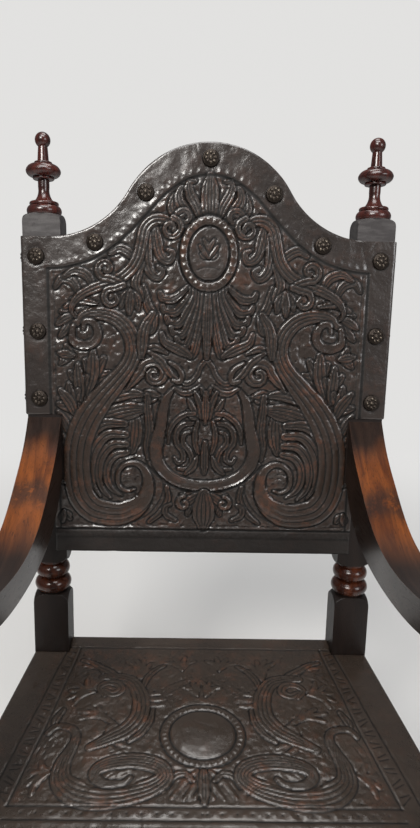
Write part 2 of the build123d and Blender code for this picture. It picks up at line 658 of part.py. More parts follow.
def square_block(block):
    """A square block of the front post with its two turned shoulders."""
    low, high = block
    half = FRONT_W / 2
    body = span((-half, half), (-half, half), (low, high))
    corner = half * sqrt(2)
    body = body - pommel_cutter(high - FRONT_POMMEL_H, high, corner, FRONT_CORE_R)
    return body - pommel_cutter(low + FRONT_POMMEL_H, low, corner, FRONT_CORE_R)


def two_beads(z, radius):
    """A pair of beads like the rings of the rear posts, from the height z."""
    return [(radius, z, 0), (radius, z + BEAD_H, BEAD_BULGE), (radius, z + 2 * BEAD_H, BEAD_BULGE)]


def front_post(side):
    """Four turnings from the floor up, with the three square blocks between them."""
    slim = FRONT_SLIM_R
    arm_foot = SEAT_H + ARM_SEAT_Z
    foot = turned((FOOT_R - FOOT_SWELL, 0), [
        (ANKLE_R, FOOT_H, FOOT_SWELL), (ANKLE_R, FOOT_H + ANKLE_H, 0), (slim, low_block[0] + ROOT, 0)])
    low = low_block[1] + BEAD_SEAT
    shin = turned((slim, low_block[1] - ROOT), two_beads(low, slim) + [
        (NECK_R, low + 2 * BEAD_H + COVE_H, -COVE_BULGE),
        (BELLY_R, mid_block[0] - SHIN_BELLY_DROP, -COVE_BULGE),
        (slim, mid_block[0] - COVE_H, BELLY_BULGE), (slim, mid_block[0] + ROOT, 0)])
    knee_foot = (mid_block[1] + seat_block[0]) / 2 - BEAD_H
    knee = turned((slim, mid_block[1] - ROOT),
                  two_beads(knee_foot, slim) + [(slim, seat_block[0] + ROOT, 0)])
    beads = seat_block[1] + BEAD_SEAT
    vase = beads + 2 * BEAD_H
    cap = arm_foot - CAP_TOP_H - CAP_BEAD_H
    upper = turned((slim, seat_block[1] - ROOT), two_beads(beads, slim) + [
        (NECK_R, vase + VASE_NECK_H, -COVE_BULGE), (BELLY_R, vase + VASE_BELLY_H, -VASE_COVE),
        (slim, vase + VASE_TOP_H, BELLY_BULGE), (NECK_R, cap - CAP_NECK_H, -COVE_BULGE), (slim, cap, 0),
        (slim, cap + CAP_BEAD_H, BELLY_BULGE), (NECK_R, cap + CAP_BEAD_H + CAP_COVE_H, -COVE_BULGE / 2),
        (slim, arm_foot, 0), (ARM_SPIGOT_R, arm_foot, 0), (ARM_SPIGOT_R, arm_foot + ARM_SPIGOT_L, 0)])
    blocks = square_block(low_block) + square_block(mid_block) + square_block(seat_block)
    post = Pos(front_x, -FRONT_REACH, 0) * (foot + blocks + shin + knee + upper)
    post = cut_all(post, [seat_side_tenons(JOINT_GAP)[1], side_stretcher_tenons(JOINT_GAP)[1]])
    post = cut_all(post, front_rail_tenons(JOINT_GAP)[:1] + [front_stretcher_bore()])
    return for_side(cut_all(post, peg_holes), side)


# ---- seat rails ----------------------------------------------------------------------------------
def seat_side_tenons(grow=0.0):
    """Tenons of the right seat rail: in the rear post and in the front post."""
    z = (seat_tenon_z[0] - grow, seat_tenon_z[1] + grow)
    half = TENON_T / 2 + grow
    rear, fore = side_tenon_x, front_outer - LEATHER_T - SEAT_RAIL_T / 2
    return [span((rear - half, rear + half), (-ROOT, TENON_L + grow), z),
            span((fore - half, fore + half), (front_back_y - TENON_L - grow, front_back_y + ROOT), z)]


def seat_rail_side(side):
    outline = [(side_face(y) - inset, y) for inset, y in
               ((LEATHER_T, 0), (LEATHER_T, front_back_y), (LEATHER_T + SEAT_RAIL_T, front_back_y),
                (LEATHER_T + SEAT_RAIL_T, 0))]
    rail = extrude(make_face(Polyline(*outline, close=True)), SEAT_RAIL_H)
    rail = Pos(0, 0, rail_foot) * rail
    for tenon in seat_side_tenons():
        rail = rail + tenon
    holes = [nail_hole(at, NAIL_SHANK_R, NAIL_SHANK_L) for at in seat_side_nail_places(1)]
    holes += [nail_hole(at, TACK_SHANK_R, TACK_SHANK_L) for at in strap_tack_places()]
    return for_side(cut_all(rail, holes + peg_holes), side)


front_rail_y = (front_face_y + LEATHER_T, front_face_y + LEATHER_T + SEAT_RAIL_T)


def front_rail_tenons(grow=0.0):
    """Tenons of the front seat rail, right one first."""
    low = front_rail_y[0] + (SEAT_RAIL_T - TENON_T) / 2
    y = (low - grow, low + TENON_T + grow)
    z = (seat_tenon_z[0] - grow, seat_tenon_z[1] + grow)
    reach = front_inner + FRONT_TENON_L + grow
    return [span((front_inner - ROOT, reach), y, z), span((-reach, ROOT - front_inner), y, z)]


def seat_rail_front():
    rail = span((-front_inner, front_inner), front_rail_y, (rail_foot, rail_top))
    for tenon in front_rail_tenons():
        rail = rail + tenon
    holes = [nail_hole(at, NAIL_SHANK_R, NAIL_SHANK_L) for at in seat_front_nail_places()]
    holes += [nail_hole(at, TACK_SHANK_R, TACK_SHANK_L) for at in strap_tack_places()]
    return cut_all(rail, holes + peg_holes)


def seat_rail_rear():
    rail = span((-post_inner, post_inner), rear_rail_y, (rail_foot, rail_top))
    for tenon in rail_tenons(rear_tenon_y, seat_tenon_z):
        rail = rail + tenon
    tacks = seat_tack_places() + strap_tack_places()
    return cut_all(rail, [nail_hole(at, TACK_SHANK_R, TACK_SHANK_L) for at in tacks] + peg_holes)


# ---- stretchers ----------------------------------------------------------------------------------
def stretcher_line(y):
    """X of the side stretcher's centre line at y."""
    return post_x + (front_x - post_x) * y / front_back_y


def side_stretcher_tenons(grow=0.0):
    """Tenons of the right side stretcher: in the rear post and in the front post."""
    low, high = tenon_z(SIDE_STRETCHER_Z, SIDE_STRETCHER_H)
    z = (low - grow, high + grow)
    half = TENON_T / 2 + grow
    return [span((post_x - half, post_x + half), (-ROOT, TENON_L + grow), z),
            span((front_x - half, front_x + half), (front_back_y - TENON_L - grow, front_back_y + ROOT), z)]


def middle_tenon(grow=0.0):
    """The right tenon of the middle stretcher, in the side stretcher."""
    inner = stretcher_line(MIDDLE_STRETCHER_Y) - SIDE_STRETCHER_T / 2
    half = TENON_T / 2 + grow
    height = MIDDLE_STRETCHER_H / 2 - TENON_SHOULDER / 2 + grow
    return span((inner - ROOT, inner + MIDDLE_TENON_L + grow),
                (MIDDLE_STRETCHER_Y - half, MIDDLE_STRETCHER_Y + half),
                (SIDE_STRETCHER_Z - height, SIDE_STRETCHER_Z + height))


def side_stretcher_outline(half):
    return [(stretcher_line(0) + half, 0), (stretcher_line(front_back_y) + half, front_back_y),
            (stretcher_line(front_back_y) - half, front_back_y), (stretcher_line(0) - half, 0)]


def side_stretcher(side):
    low = SIDE_STRETCHER_Z - SIDE_STRETCHER_H / 2
    outline = side_stretcher_outline(SIDE_STRETCHER_T / 2)
    bar = Pos(0, 0, low) * extrude(make_face(Polyline(*outline, close=True)), SIDE_STRETCHER_H)
    for tenon in side_stretcher_tenons():
        bar = bar + tenon
    return for_side(cut_all(bar, [middle_tenon(JOINT_GAP)] + peg_holes), side)


def middle_stretcher():
    """Its shoulders are cut to the slant of the side stretchers."""
    half_t = MIDDLE_STRETCHER_T / 2
    low, high = MIDDLE_STRETCHER_Y - half_t, MIDDLE_STRETCHER_Y + half_t
    ends = [stretcher_line(y) - SIDE_STRETCHER_T / 2 for y in (low, high)]
    outline = [(0, low), (ends[0], low), (ends[1], high), (0, high)]
    bar = extrude(make_face(Polyline(*outline, close=True)), MIDDLE_STRETCHER_H)
    bar = Pos(0, 0, SIDE_STRETCHER_Z - MIDDLE_STRETCHER_H / 2) * bar + middle_tenon()
    return bar + mirrored(bar)


def rear_stretcher():
    bar = span((-post_inner, post_inner), rear_stretcher_y, rear_stretcher_z)
    for tenon in rail_tenons(rear_stretcher_tenon_y, rear_stretcher_tenon_z):
        bar = bar + tenon
    return cut_all(bar, peg_holes)


def front_stretcher_bore():
    reach = front_inner + FRONT_STRETCHER_TENON_L + JOINT_GAP
    return rod((front_inner - ROOT, -FRONT_REACH, FRONT_STRETCHER_Z),
               (reach, -FRONT_REACH, FRONT_STRETCHER_Z), FRONT_STRETCHER_TENON_R + JOINT_GAP)


def front_stretcher():
    """Turned from the middle out: a ring, a side bead, a long swell, an end bead and a round tenon."""
    slim, end = FRONT_STRETCHER_END_R, front_inner
    groove = FRONT_STRETCHER_RING_W + FRONT_STRETCHER_GROOVE_W
    side_bead = groove + FRONT_STRETCHER_SIDE_BEAD_W
    end_bead = end - FRONT_STRETCHER_COLLAR_W - FRONT_STRETCHER_BEAD_W
    bead, swell = FRONT_STRETCHER_BEAD_BULGE, FRONT_STRETCHER_SWELL_BULGE
    half = turned((slim, 0), [
        (slim, FRONT_STRETCHER_RING_W, FRONT_STRETCHER_RING_R - slim), (slim, groove, 0),
        (slim, side_bead, bead), (FRONT_STRETCHER_R, end - FRONT_STRETCHER_SWELL, swell),
        (slim, end_bead, swell), (slim, end - FRONT_STRETCHER_COLLAR_W, bead),
        (FRONT_STRETCHER_COLLAR_R, end, 0), (FRONT_STRETCHER_TENON_R, end, 0),
        (FRONT_STRETCHER_TENON_R, end + FRONT_STRETCHER_TENON_L, 0)])
    half = Pos(0, -FRONT_REACH, FRONT_STRETCHER_Z) * Rot(0, 90, 0) * half
    return cut_all(half + mirrored(half), peg_holes)


# ---- leather -------------------------------------------------------------------------------------
def back_leather():
    """The hide, notched for the arms, wrapped round the posts and folded under the lower rail."""
    arm_high, arm_low = ARM_HEAD_V + ARM_CLEAR, ARM_FOOT_V - ARM_CLEAR - LEATHER_T
    foot = LOWER_RAIL_V - LEATHER_T
    wide, slot, low_half = post_outer + LEATHER_T, post_outer - ARM_W - ARM_CLEAR, BACK_FOOT_W / 2
    top, end = crest_edges(wide)
    corners = [end, (wide, arm_high), (slot, arm_high), (slot, arm_low), (low_half, arm_low),
               (low_half, foot), (0, foot), (0, crest_top)]
    sheet = upright_sheet(top + [Line(a, b) for a, b in zip(corners, corners[1:])], -LEATHER_T, 0)
    wrap = span((post_outer, wide), (-LEATHER_T, WRAP_D), (arm_high, crest_shoulder))
    fold = span((-post_inner + LEATHER_GAP, post_inner - LEATHER_GAP), (-LEATHER_T, FOLD_D),
                (foot, LOWER_RAIL_V))
    hide = raked_frame() * (sheet + wrap + mirrored(wrap) + fold)
    nails = back_nail_places() + side_nail_places(-1) + side_nail_places(1)
    holes = [nail_hole(at, NAIL_SHANK_R, NAIL_SHANK_L) for at in nails]
    holes += [nail_hole(at, TACK_SHANK_R, TACK_SHANK_L) for at in back_tack_places()]
    return cut_all(hide, holes)


def seat_leather():
    """The hide on the seat frame, cut round the four posts, with skirts over the rails."""
    gap = LEATHER_GAP
    rear = RAIL_INSET + SEAT_RAIL_T + LEATHER_T
    corners = [(0, rear), (post_inner - gap, rear), (post_inner - gap, -gap), (side_face(-gap), -gap),
               (side_face(front_back_y + gap), front_back_y + gap),
               (front_inner - gap, front_back_y + gap), (front_inner - gap, front_face_y), (0, front_face_y)]
    top = Pos(0, 0, rail_top) * extrude(make_face(Polyline(*corners, close=True)), LEATHER_T)
    skirt = [(side_face(y) - inset, y) for inset, y in
             ((0, -gap), (0, front_back_y + gap), (LEATHER_T, front_back_y + gap), (LEATHER_T, -gap))]
    skirt = extrude(make_face(Polyline(*skirt, close=True)), SKIRT_H)
    half = top + Pos(0, 0, SEAT_H - SKIRT_H) * skirt
    half = half + span((0, front_inner - gap), (front_face_y, front_face_y + LEATHER_T),
                       (SEAT_H - SKIRT_H, SEAT_H))
    half = half + span((0, post_inner - gap), (rear - LEATHER_T, rear), (SEAT_H - REAR_SKIRT_H, SEAT_H))
    hide = half + mirrored(half)
    nails = seat_front_nail_places() + seat_side_nail_places(-1) + seat_side_nail_places(1)
    holes = [nail_hole(at, NAIL_SHANK_R, NAIL_SHANK_L) for at in nails]
    holes += [nail_hole(at, TACK_SHANK_R, TACK_SHANK_L) for at in seat_tack_places()]
    return cut_all(hide, holes)


# ---- straps --------------------------------------------------------------------------------------
def lengthwise_straps():
    """Straps from the front rail to the rear rail, flush with the rails' top, ends turned down."""
    low, high = front_rail_y[1], RAIL_INSET
    straps = []
    for x in LONG_STRAPS_X:
        width = (x - STRAP_W / 2, x + STRAP_W / 2)
        strap = span(width, (low, high), (rail_top - STRAP_T, rail_top))
        strap = strap + span(width, (low, low + STRAP_T), (rail_top - STRAP_TAB_H, rail_top))
        straps.append(strap + span(width, (high - STRAP_T, high), (rail_top - STRAP_TAB_H, rail_top)))
    return straps


def crosswise_straps():
    """Straps from side to side under the lengthwise ones, ends turned down along the side rails."""
    straps = []
    top = rail_top - STRAP_T
    for middle in CROSS_STRAPS_Y:
        low, high = middle - STRAP_W / 2, middle + STRAP_W / 2
        inner = [side_face(y) - LEATHER_T - SEAT_RAIL_T for y in (low, high)]
        web = [(0, low), (inner[0], low), (inner[1], high), (0, high)]
        tab = [(inner[0], low), (inner[1], high), (inner[1] - STRAP_T, high), (inner[0] - STRAP_T, low)]
        half = Pos(0, 0, top - STRAP_T) * extrude(make_face(Polyline(*web, close=True)), STRAP_T)
        drop = STRAP_TAB_H - STRAP_T
        half = half + Pos(0, 0, top - drop) * extrude(make_face(Polyline(*tab, close=True)), drop)
        straps.append(half + mirrored(half))
    return straps


# ---- assembly ------------------------------------------------------------------------------------
big_nail = nail(NAIL_R, NAIL_DOME_H, NAIL_SHANK_R, NAIL_SHANK_L)
tack = nail(TACK_R, TACK_DOME_H, TACK_SHANK_R, TACK_SHANK_L)
strap_holes = [nail_hole(at, TACK_SHANK_R, TACK_SHANK_L) for at in strap_tack_places()]

for name, side in SIDES.items():
    parts["rear_post_" + name] = [rear_post(side)]
    parts["finial_" + name] = [finial(side)]
    parts["arm_" + name] = [arm(side)]
    parts["front_post_" + name] = [front_post(side)]
    parts["seat_rail_" + name] = [seat_rail_side(side)]
    parts["side_stretcher_" + name] = [side_stretcher(side)]
    parts["side_nails_" + name] = [at * big_nail for at in side_nail_places(side)]
    parts["seat_nails_" + name] = [at * big_nail for at in seat_side_nail_places(side)]
parts["crest_rail"] = [crest_rail()]
parts["lower_back_rail"] = [lower_back_rail()]
parts["seat_rail_front"] = [seat_rail_front()]
parts["seat_rail_rear"] = [seat_rail_rear()]
parts["middle_stretcher"] = [middle_stretcher()]
parts["rear_stretcher"] = [rear_stretcher()]
parts["front_stretcher"] = [front_stretcher()]
parts["back_leather"] = [back_leather()]
parts["seat_leather"] = [seat_leather()]
parts["back_nails"] = [at * big_nail for at in back_nail_places()]
parts["seat_nails_front"] = [at * big_nail for at in seat_front_nail_places()]
parts["back_tacks"] = [at * tack for at in back_tack_places()]
parts["seat_tacks"] = [at * tack for at in seat_tack_places()]
parts["strap_tacks"] = [at * tack for at in strap_tack_places()]
parts["lengthwise_straps"] = [cut_all(strap, strap_holes) for strap in lengthwise_straps()]
parts["crosswise_straps"] = [cut_all(strap, strap_holes) for strap in crosswise_straps()]
for name, lines in peg_lines.items():
    parts[name] = [rod(start, end, PEG_R) for start, end in lines]

boxes = [piece.bounding_box() for pieces in parts.values() for piece in pieces]
low = [min(getattr(box.min, axis) for box in boxes) for axis in "XYZ"]
high = [max(getattr(box.max, axis) for box in boxes) for axis in "XYZ"]
shift = Pos(-(low[0] + high[0]) / 2, -(low[1] + high[1]) / 2, -low[2])

os.makedirs("parts", exist_ok=True)
for name, pieces in parts.items():
    moved = [shift * piece for piece in pieces]
    whole = moved[0] if len(moved) == 1 else Compound(children=[piece.solid() for piece in moved])
    export_step(whole, "parts/" + name + ".step")
print("moved back by", round(shift.position.Y, 3), "overall",
      [round(top - bottom, 1) for bottom, top in zip(low, high)])
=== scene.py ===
"""Looks of the tooled-leather armchair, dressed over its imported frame.

Lengths are millimetres on the bench and become metres where a mesh is made. The back hide is
worked flat, across and up from the seat, and then bent onto the raked posts. The seat hide is
worked flat too, across and back from the rear posts' front plane.
"""
from math import cos, pi, radians, sin, sqrt

import bmesh
import bpy
import numpy as np
from mathutils import Matrix, Vector
from mathutils.geometry import delaunay_2d_cdt


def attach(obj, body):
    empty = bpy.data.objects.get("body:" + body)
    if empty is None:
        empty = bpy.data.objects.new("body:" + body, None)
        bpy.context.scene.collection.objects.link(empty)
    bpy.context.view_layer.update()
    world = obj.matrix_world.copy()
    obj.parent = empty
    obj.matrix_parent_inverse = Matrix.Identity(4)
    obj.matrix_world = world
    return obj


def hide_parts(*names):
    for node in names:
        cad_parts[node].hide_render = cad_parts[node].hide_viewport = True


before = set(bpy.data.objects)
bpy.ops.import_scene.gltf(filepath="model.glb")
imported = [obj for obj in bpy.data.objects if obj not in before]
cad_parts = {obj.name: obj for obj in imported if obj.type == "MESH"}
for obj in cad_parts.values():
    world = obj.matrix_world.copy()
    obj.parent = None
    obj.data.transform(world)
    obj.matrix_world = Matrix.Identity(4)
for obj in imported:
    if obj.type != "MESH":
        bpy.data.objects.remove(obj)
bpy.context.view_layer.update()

# ---- sizes the hides are cut to ----
MM = 0.001
BACK_SHIFT = 117.091      # from the posts' front plane to the middle of the whole chair
SEAT_H = 460.0
RAKE = radians(10.6)
POST_OUTER = 280.0        # half width over the rear posts
POST_INNER = 223.0
LEATHER = 3.0
LEATHER_GAP = 0.3
HIDE_FOOT = 180.0
HIDE_TOP = 815.0
SHOULDER = 678.0          # where the back's arch starts, up the slope
CREST_R = 140.0           # radius of each of the arch's curves
ARM_HIGH = 407.0          # the back hide is cut round the arms up to here
ARM_LOW = 301.0
ARM_SLOT = 225.0          # half width between the arms
LOW_HALF = 240.0          # half width below them
WRAP_D = 41.0             # round the side of a post
FOLD_D = 22.0             # under the lower rail
SEAT_BACK_HALF = 280.0
SEAT_FRONT_HALF = 321.0
SEAT_RUN = 290.0          # between the rear and the front posts
SEAT_FRONT = 346.0
SEAT_REAR = 37.0
FRONT_POST_INNER = 265.0
SKIRT = 56.0
REAR_SKIRT = 30.0
NAIL_R = 13.0
NAIL_DOME = 6.5
NAIL_DROP = 30.0          # from the top of the seat to the skirt's nails
FRONT_NAIL_PITCH = 76.0
SIDE_NAILS_Y = (-31.0, -107.0, -183.0, -259.0)
POST_NAIL_OUT = -23.0     # nails on the posts' outer sides, out from the front plane
CUT_EDGE = 50             # degrees from which an edge stays sharp
SPAN_STEPS = 24           # points that a curve is drawn with between two given ones


# ---- finishes ----
class Value:
    """A number that varies over a surface, so that sums in a finish read as sums."""

    def __init__(self, finish, socket):
        self.finish = finish
        self.socket = socket

    def __add__(self, other):
        return self.finish.maths("ADD", self, other)

    def __sub__(self, other):
        return self.finish.maths("SUBTRACT", self, other)

    def __rsub__(self, other):
        return self.finish.maths("SUBTRACT", other, self)

    def __mul__(self, other):
        return self.finish.maths("MULTIPLY", self, other)

    __radd__ = __add__
    __rmul__ = __mul__

    def between(self, low, high):
        """0 up to low and 1 from high on, with a soft step between them."""
        step = self.finish.node("MapRange", {0: self, 1: low, 2: high}, interpolation_type="SMOOTHSTEP")
        return Value(self.finish, step.outputs[0])


class Finish:
    """A material, or the world, and the nodes in it."""

    def __init__(self, name, kind=bpy.data.materials):
        self.made = kind.new(name)
        self.made.use_nodes = True
        self.tree = self.made.node_tree
        self.tree.nodes.clear()
        self.place = self.node("TexCoord").outputs["Object"]

    def node(self, kind, sockets=None, **settings):
        """A node with its settings made first, and then its sockets filled or linked."""
        made = self.tree.nodes.new("ShaderNode" + kind)
        for key, setting in settings.items():
            setattr(made, key, setting)
        for key, value in (sockets or {}).items():
            if isinstance(value, Value):
                value = value.socket
            if isinstance(value, bpy.types.NodeSocket):
                self.tree.links.new(value, made.inputs[key])
            else:
                made.inputs[key].default_value = value
        return made

    def maths(self, operation, first, second):
        return Value(self, self.node("Math", {0: first, 1: second}, operation=operation).outputs[0])

    def mask(self, name):
        """A value that the mesh carries."""
        return Value(self, self.node("Attribute", attribute_name=name).outputs["Fac"])

    def axis(self, vector, index):
        return Value(self, self.node("SeparateXYZ", {0: vector}).outputs[index])

    def noise(self, scale, detail=3.0, rough=0.55, warp=0.0):
        """Noise with one scale, or with one for each axis."""
        place = self.place
        if isinstance(scale, tuple):
            place, scale = self.node("Mapping", {"Vector": place, "Scale": scale}).outputs[0], 1.0
        made = self.node("TexNoise", {"Vector": place, "Scale": scale, "Detail": detail,
                                      "Roughness": rough, "Distortion": warp})
        return Value(self, made.outputs[0])

    def pits(self, scale):
        """Distance to the nearest of scattered points."""
        made = self.node("TexVoronoi", {"Vector": self.place, "Scale": scale})
        return Value(self, made.outputs["Distance"])

    def layers(self, colour, *coats):
        """A colour with others laid over it, each by its own share."""
        for share, over in coats:
            under, over = ((*c, 1.0) if isinstance(c, tuple) else c for c in (colour, over))
            colour = self.node("Mix", {0: share, 6: under, 7: over}, data_type="RGBA").outputs[2]
        return colour

    def surface(self, colour, rough, height=None, depth=0.001, metallic=0.0, coat=0.0, coat_rough=0.2,
                specular=0.5):
        sockets = {"Base Color": colour, "Roughness": rough, "Metallic": metallic, "Coat Weight": coat,
                   "Coat Roughness": coat_rough, "Specular IOR Level": specular}
        if height is not None:
            bump = self.node("Bump", {"Strength": 1.0, "Distance": depth, "Height": height})
            sockets["Normal"] = bump.outputs[0]
        self.node("OutputMaterial", {0: self.node("BsdfPrincipled", sockets).outputs[0]})
        return self.made


def times(colour, share):
    return tuple(c * share for c in colour)


def waxed_wood(name, along):
    """Oiled and waxed walnut with its grain along one axis, rubbed paler on the edges."""
    f = Finish(name)
    figure = f.noise(tuple(3.0 if axis == along else 38.0 for axis in "xyz"), 4.0, 0.6, 1.2)
    pores = f.noise(tuple(14.0 if axis == along else 520.0 for axis in "xyz"), 2.0, 0.7)
    cloud = f.noise(9.0, 3.0)
    scuffs = f.noise(60.0, 4.0, 0.7)
    edge = f.mask("edge") * scuffs.between(0.38, 0.6)
    colour = f.layers(WALNUT_DARK, (figure.between(0.34, 0.66), WALNUT_PALE),
                      (pores.between(0.45, 0.32) * 0.7, times(WALNUT_DARK, 0.35)),
                      (cloud.between(0.5, 0.75) * 0.45, times(WALNUT_DARK, 0.6)),
                      (edge * 0.7, WALNUT_WORN))
    rough = 0.36 + pores.between(0.45, 0.3) * 0.2 + cloud.between(0.4, 0.8) * 0.16 - edge * 0.06
    height = pores.between(0.42, 0.3) * -0.6 + figure * 0.35 + scuffs.between(0.62, 0.75) * -0.4
    return f.surface(colour, rough, height, FINE_BUMP, specular=0.36)


def post_wood():
    """Rear posts: blackened, which is partly painted shade on the lower blocks, grey on top with scuffs
    and a painted sheen, red-brown and glossy on the turned rings.
    """
    f = Finish("rear_post_wood")
    height_up = f.axis(f.place, 2)
    figure = f.noise((38.0, 38.0, 3.0), 4.0, 0.6, 1.2)
    pores = f.noise((520.0, 520.0, 14.0), 2.0, 0.7)
    scuffs = f.noise((30.0, 60.0, 170.0), 3.0, 0.6)
    above_foot = height_up.between(RING_LOW, RING_LOW + RING_SOFT)
    rings = above_foot * height_up.between(RING_HIGH, RING_HIGH - RING_SOFT)
    sheen_top = height_up.between(SHEEN_TOP_FROM, SHEEN_TOP_FROM + 0.008)
    red = f.layers((0.018, 0.0048, 0.0026), (figure.between(0.3, 0.7), (0.072, 0.0180, 0.0066)))
    # the grey of the top is a painted sheen, with real scuffs lighter on it
    grey = f.layers((0.036, 0.032, 0.032), (scuffs.between(0.35, 0.65), (0.066, 0.061, 0.060)))
    # the near-black base is partly painted shade, for the shaded lower blocks
    colour = f.layers((0.0075, 0.0048, 0.004), (figure.between(0.2, 0.8), (0.014, 0.0085, 0.0065)),
                      (rings * 0.9, red), (sheen_top * 0.9, grey),
                      (pores.between(0.45, 0.32) * (0.5 - sheen_top * 0.4), (0.006, 0.0045, 0.004)),
                      (f.mask("edge") * scuffs.between(0.4, 0.6) * 0.4, (0.07, 0.048, 0.037)))
    rough = 0.42 + pores.between(0.45, 0.3) * 0.15 - rings * 0.22 + sheen_top * 0.06
    height = pores.between(0.42, 0.3) * -0.5 + figure * 0.3 + scuffs.between(0.6, 0.75) * -0.5
    return f.surface(colour, rough, height, 0.0002, coat=rings * 0.22, coat_rough=0.2, specular=0.28)


def arm_wood():
    """Arms: warm brown where hands have rubbed them, and only on faces that look up, so that their sides
    stay dark as painted shade; dark near the posts.
    """
    f = Finish("arm_wood")
    along = f.axis(f.place, 1)
    up = f.axis(f.node("NewGeometry").outputs["Normal"], 2)
    figure = f.noise((52.0, 3.2, 12.0), 4.0, 0.6, 1.0)
    pores = f.noise((620.0, 14.0, 260.0), 2.0, 0.7)
    cloud = f.noise((15.0, 5.0, 5.0), 2.0, 0.5)
    scuffs = f.noise(80.0, 4.0, 0.7)
    warm = f.layers((0.055, 0.0140, 0.0036), (figure.between(0.3, 0.7), (0.165, 0.046, 0.0085)))
    dull = f.layers((0.0085, 0.0048, 0.0036), (figure.between(0.3, 0.7), (0.023, 0.0125, 0.0085)))
    wander = along + cloud * 0.07 - 0.035
    hands = wander.between(0.172, 0.128) * wander.between(-0.03, 0.06)
    smudge = wander.between(0.045, 0.07) * wander.between(0.105, 0.08) * scuffs.between(0.3, 0.5)
    # hand wear with painted light: the warm brown goes only on faces that look up
    rubbed_and_lit = up.between(0.1, 0.5) * hands * (1 - smudge * 0.75)
    colour = f.layers(dull, (rubbed_and_lit * (1 - cloud.between(0.5, 0.8) * 0.45), warm),
                      (pores.between(0.45, 0.32) * 0.5, (0.010, 0.005, 0.004)),
                      (scuffs.between(0.6, 0.72) * 0.35, (0.012, 0.006, 0.004)),
                      (f.mask("edge") * scuffs.between(0.36, 0.58) * 0.6, (0.16, 0.062, 0.028)))
    near_post = along.between(0.132, 0.170)
    rough = 0.36 + pores.between(0.45, 0.3) * 0.15 + cloud.between(0.45, 0.75) * 0.12 + near_post * 0.4
    polish = (1 - near_post) * (0.08 + wander.between(0.06, 0.0) * 0.9)
    height = pores.between(0.42, 0.3) * -0.25 + figure * 0.3 + scuffs.between(0.62, 0.75) * -0.3
    return f.surface(colour, rough, height, FINE_BUMP, coat=polish, coat_rough=0.24, specular=0.12)


def turned_mahogany():
    """Finials: deep polished red-brown with a fine grain up the stem."""
    f = Finish("finial_mahogany")
    figure = f.noise((90.0, 90.0, 12.0), 3.0, 0.6, 0.8)
    pores = f.noise((700.0, 700.0, 40.0), 2.0, 0.6)
    colour = f.layers((0.016, 0.0038, 0.0028), (figure.between(0.3, 0.7), (0.058, 0.0112, 0.0072)),
                      (pores.between(0.42, 0.3) * 0.5, (0.009, 0.003, 0.0025)))
    rough = 0.24 + f.noise(40.0, 2.0).between(0.4, 0.8) * 0.1
    return f.surface(colour, rough, coat=0.16, coat_rough=0.16)


def tooled_hide(name, ground, plain, worn, glaze):
    """Waxed hide: black in the cuts, from dirt and painted shade, darker in hollows as painted shade,
    worn red-brown and grey on the raised work.
    """
    f = Finish(name)
    hollow, worked, ink = f.mask("hollow"), f.mask("worked"), f.mask("ink")
    cloud = f.noise(9.0, 4.0, 0.62)
    patch = f.noise(24.0, 4.0, 0.65)
    rub = f.noise(60.0, 5.0, 0.7)
    fleck = f.noise(170.0, 4.0, 0.75)
    grain = f.noise(560.0, 3.0, 0.65)
    swell = f.noise(48.0, 2.0, 0.5)
    waves = f.noise(120.0, 2.5, 0.55)
    red = patch.between(0.46, 0.62) * rub.between(0.4, 0.62) * (0.15 + worked * 0.6)
    tan = patch.between(0.44, 0.34) * fleck.between(0.48, 0.66) * worked
    colour = f.layers(times(plain, 0.65), (cloud.between(0.3, 0.72), plain), (worked * 0.85, ground),
                      (red * 0.8, worn), (tan * 0.4, tuple(0.02 + c * 1.3 for c in worn)),
                      (fleck.between(0.62, 0.74) * 0.35, times(plain, 2.2)),
                      # painted shade: places lower than their surroundings are darkened
                      (hollow.between(0.47, 0.2) * 0.9, (0.005, 0.0035, 0.003)),
                      # the cuts darkened nearly to black: dirt, with painted shade in them
                      (ink.between(0.1, 0.7) * 0.95, (0.0035, 0.0027, 0.0022)))
    rough = 0.27 + grain.between(0.35, 0.7) * 0.08 + cloud.between(0.45, 0.7) * 0.08 + ink * 0.5
    wax = (1 - ink.between(0.05, 0.6) * 0.97) * (1 - hollow.between(0.47, 0.28) * 0.85)
    height = (grain * 0.05 + f.pits(420.0) * 0.04 + rub * 0.6 + swell * 1.3
              + waves * (0.5 + worked * 0.5))
    return f.surface(colour, rough, height, 0.0011, coat=wax * 0.8, coat_rough=glaze, specular=0.30)


def plain_strap():
    f = Finish("strap_hide")
    grain = f.noise(600.0, 3.0, 0.65)
    cloud = f.noise(14.0, 4.0, 0.6)
    colour = f.layers((0.09, 0.055, 0.036), (cloud.between(0.3, 0.7), (0.17, 0.108, 0.07)),
                      (grain.between(0.6, 0.75) * 0.4, (0.05, 0.03, 0.02)))
    return f.surface(colour, 0.55 + grain * 0.2, grain, FINE_BUMP)


def nail_bronze():
    """Dark bronze with gold left on the proud beads."""
    f = Finish("nail_bronze")
    lift = f.mask("lift")
    rub = f.noise(300.0, 3.0, 0.6)
    grime = f.noise(90.0, 3.0, 0.6)
    colour = f.layers((0.024, 0.018, 0.014),
                      (lift.between(0.45, 1.0) * rub.between(0.4, 0.62), (0.160, 0.134, 0.105)),
                      (grime.between(0.45, 0.62) * 0.7, (0.022, 0.017, 0.014)))
    return f.surface(colour, 0.42 - lift * 0.14 + grime * 0.16, rub * 0.6, 0.0002, metallic=0.85)


def black_iron():
    f = Finish("tack_iron")
    scale = f.noise(400.0, 3.0, 0.6)
    colour = f.layers((0.03, 0.026, 0.024), (scale.between(0.35, 0.7), (0.085, 0.06, 0.045)))
    return f.surface(colour, 0.5 + scale * 0.2, scale, FINE_BUMP, metallic=0.8)


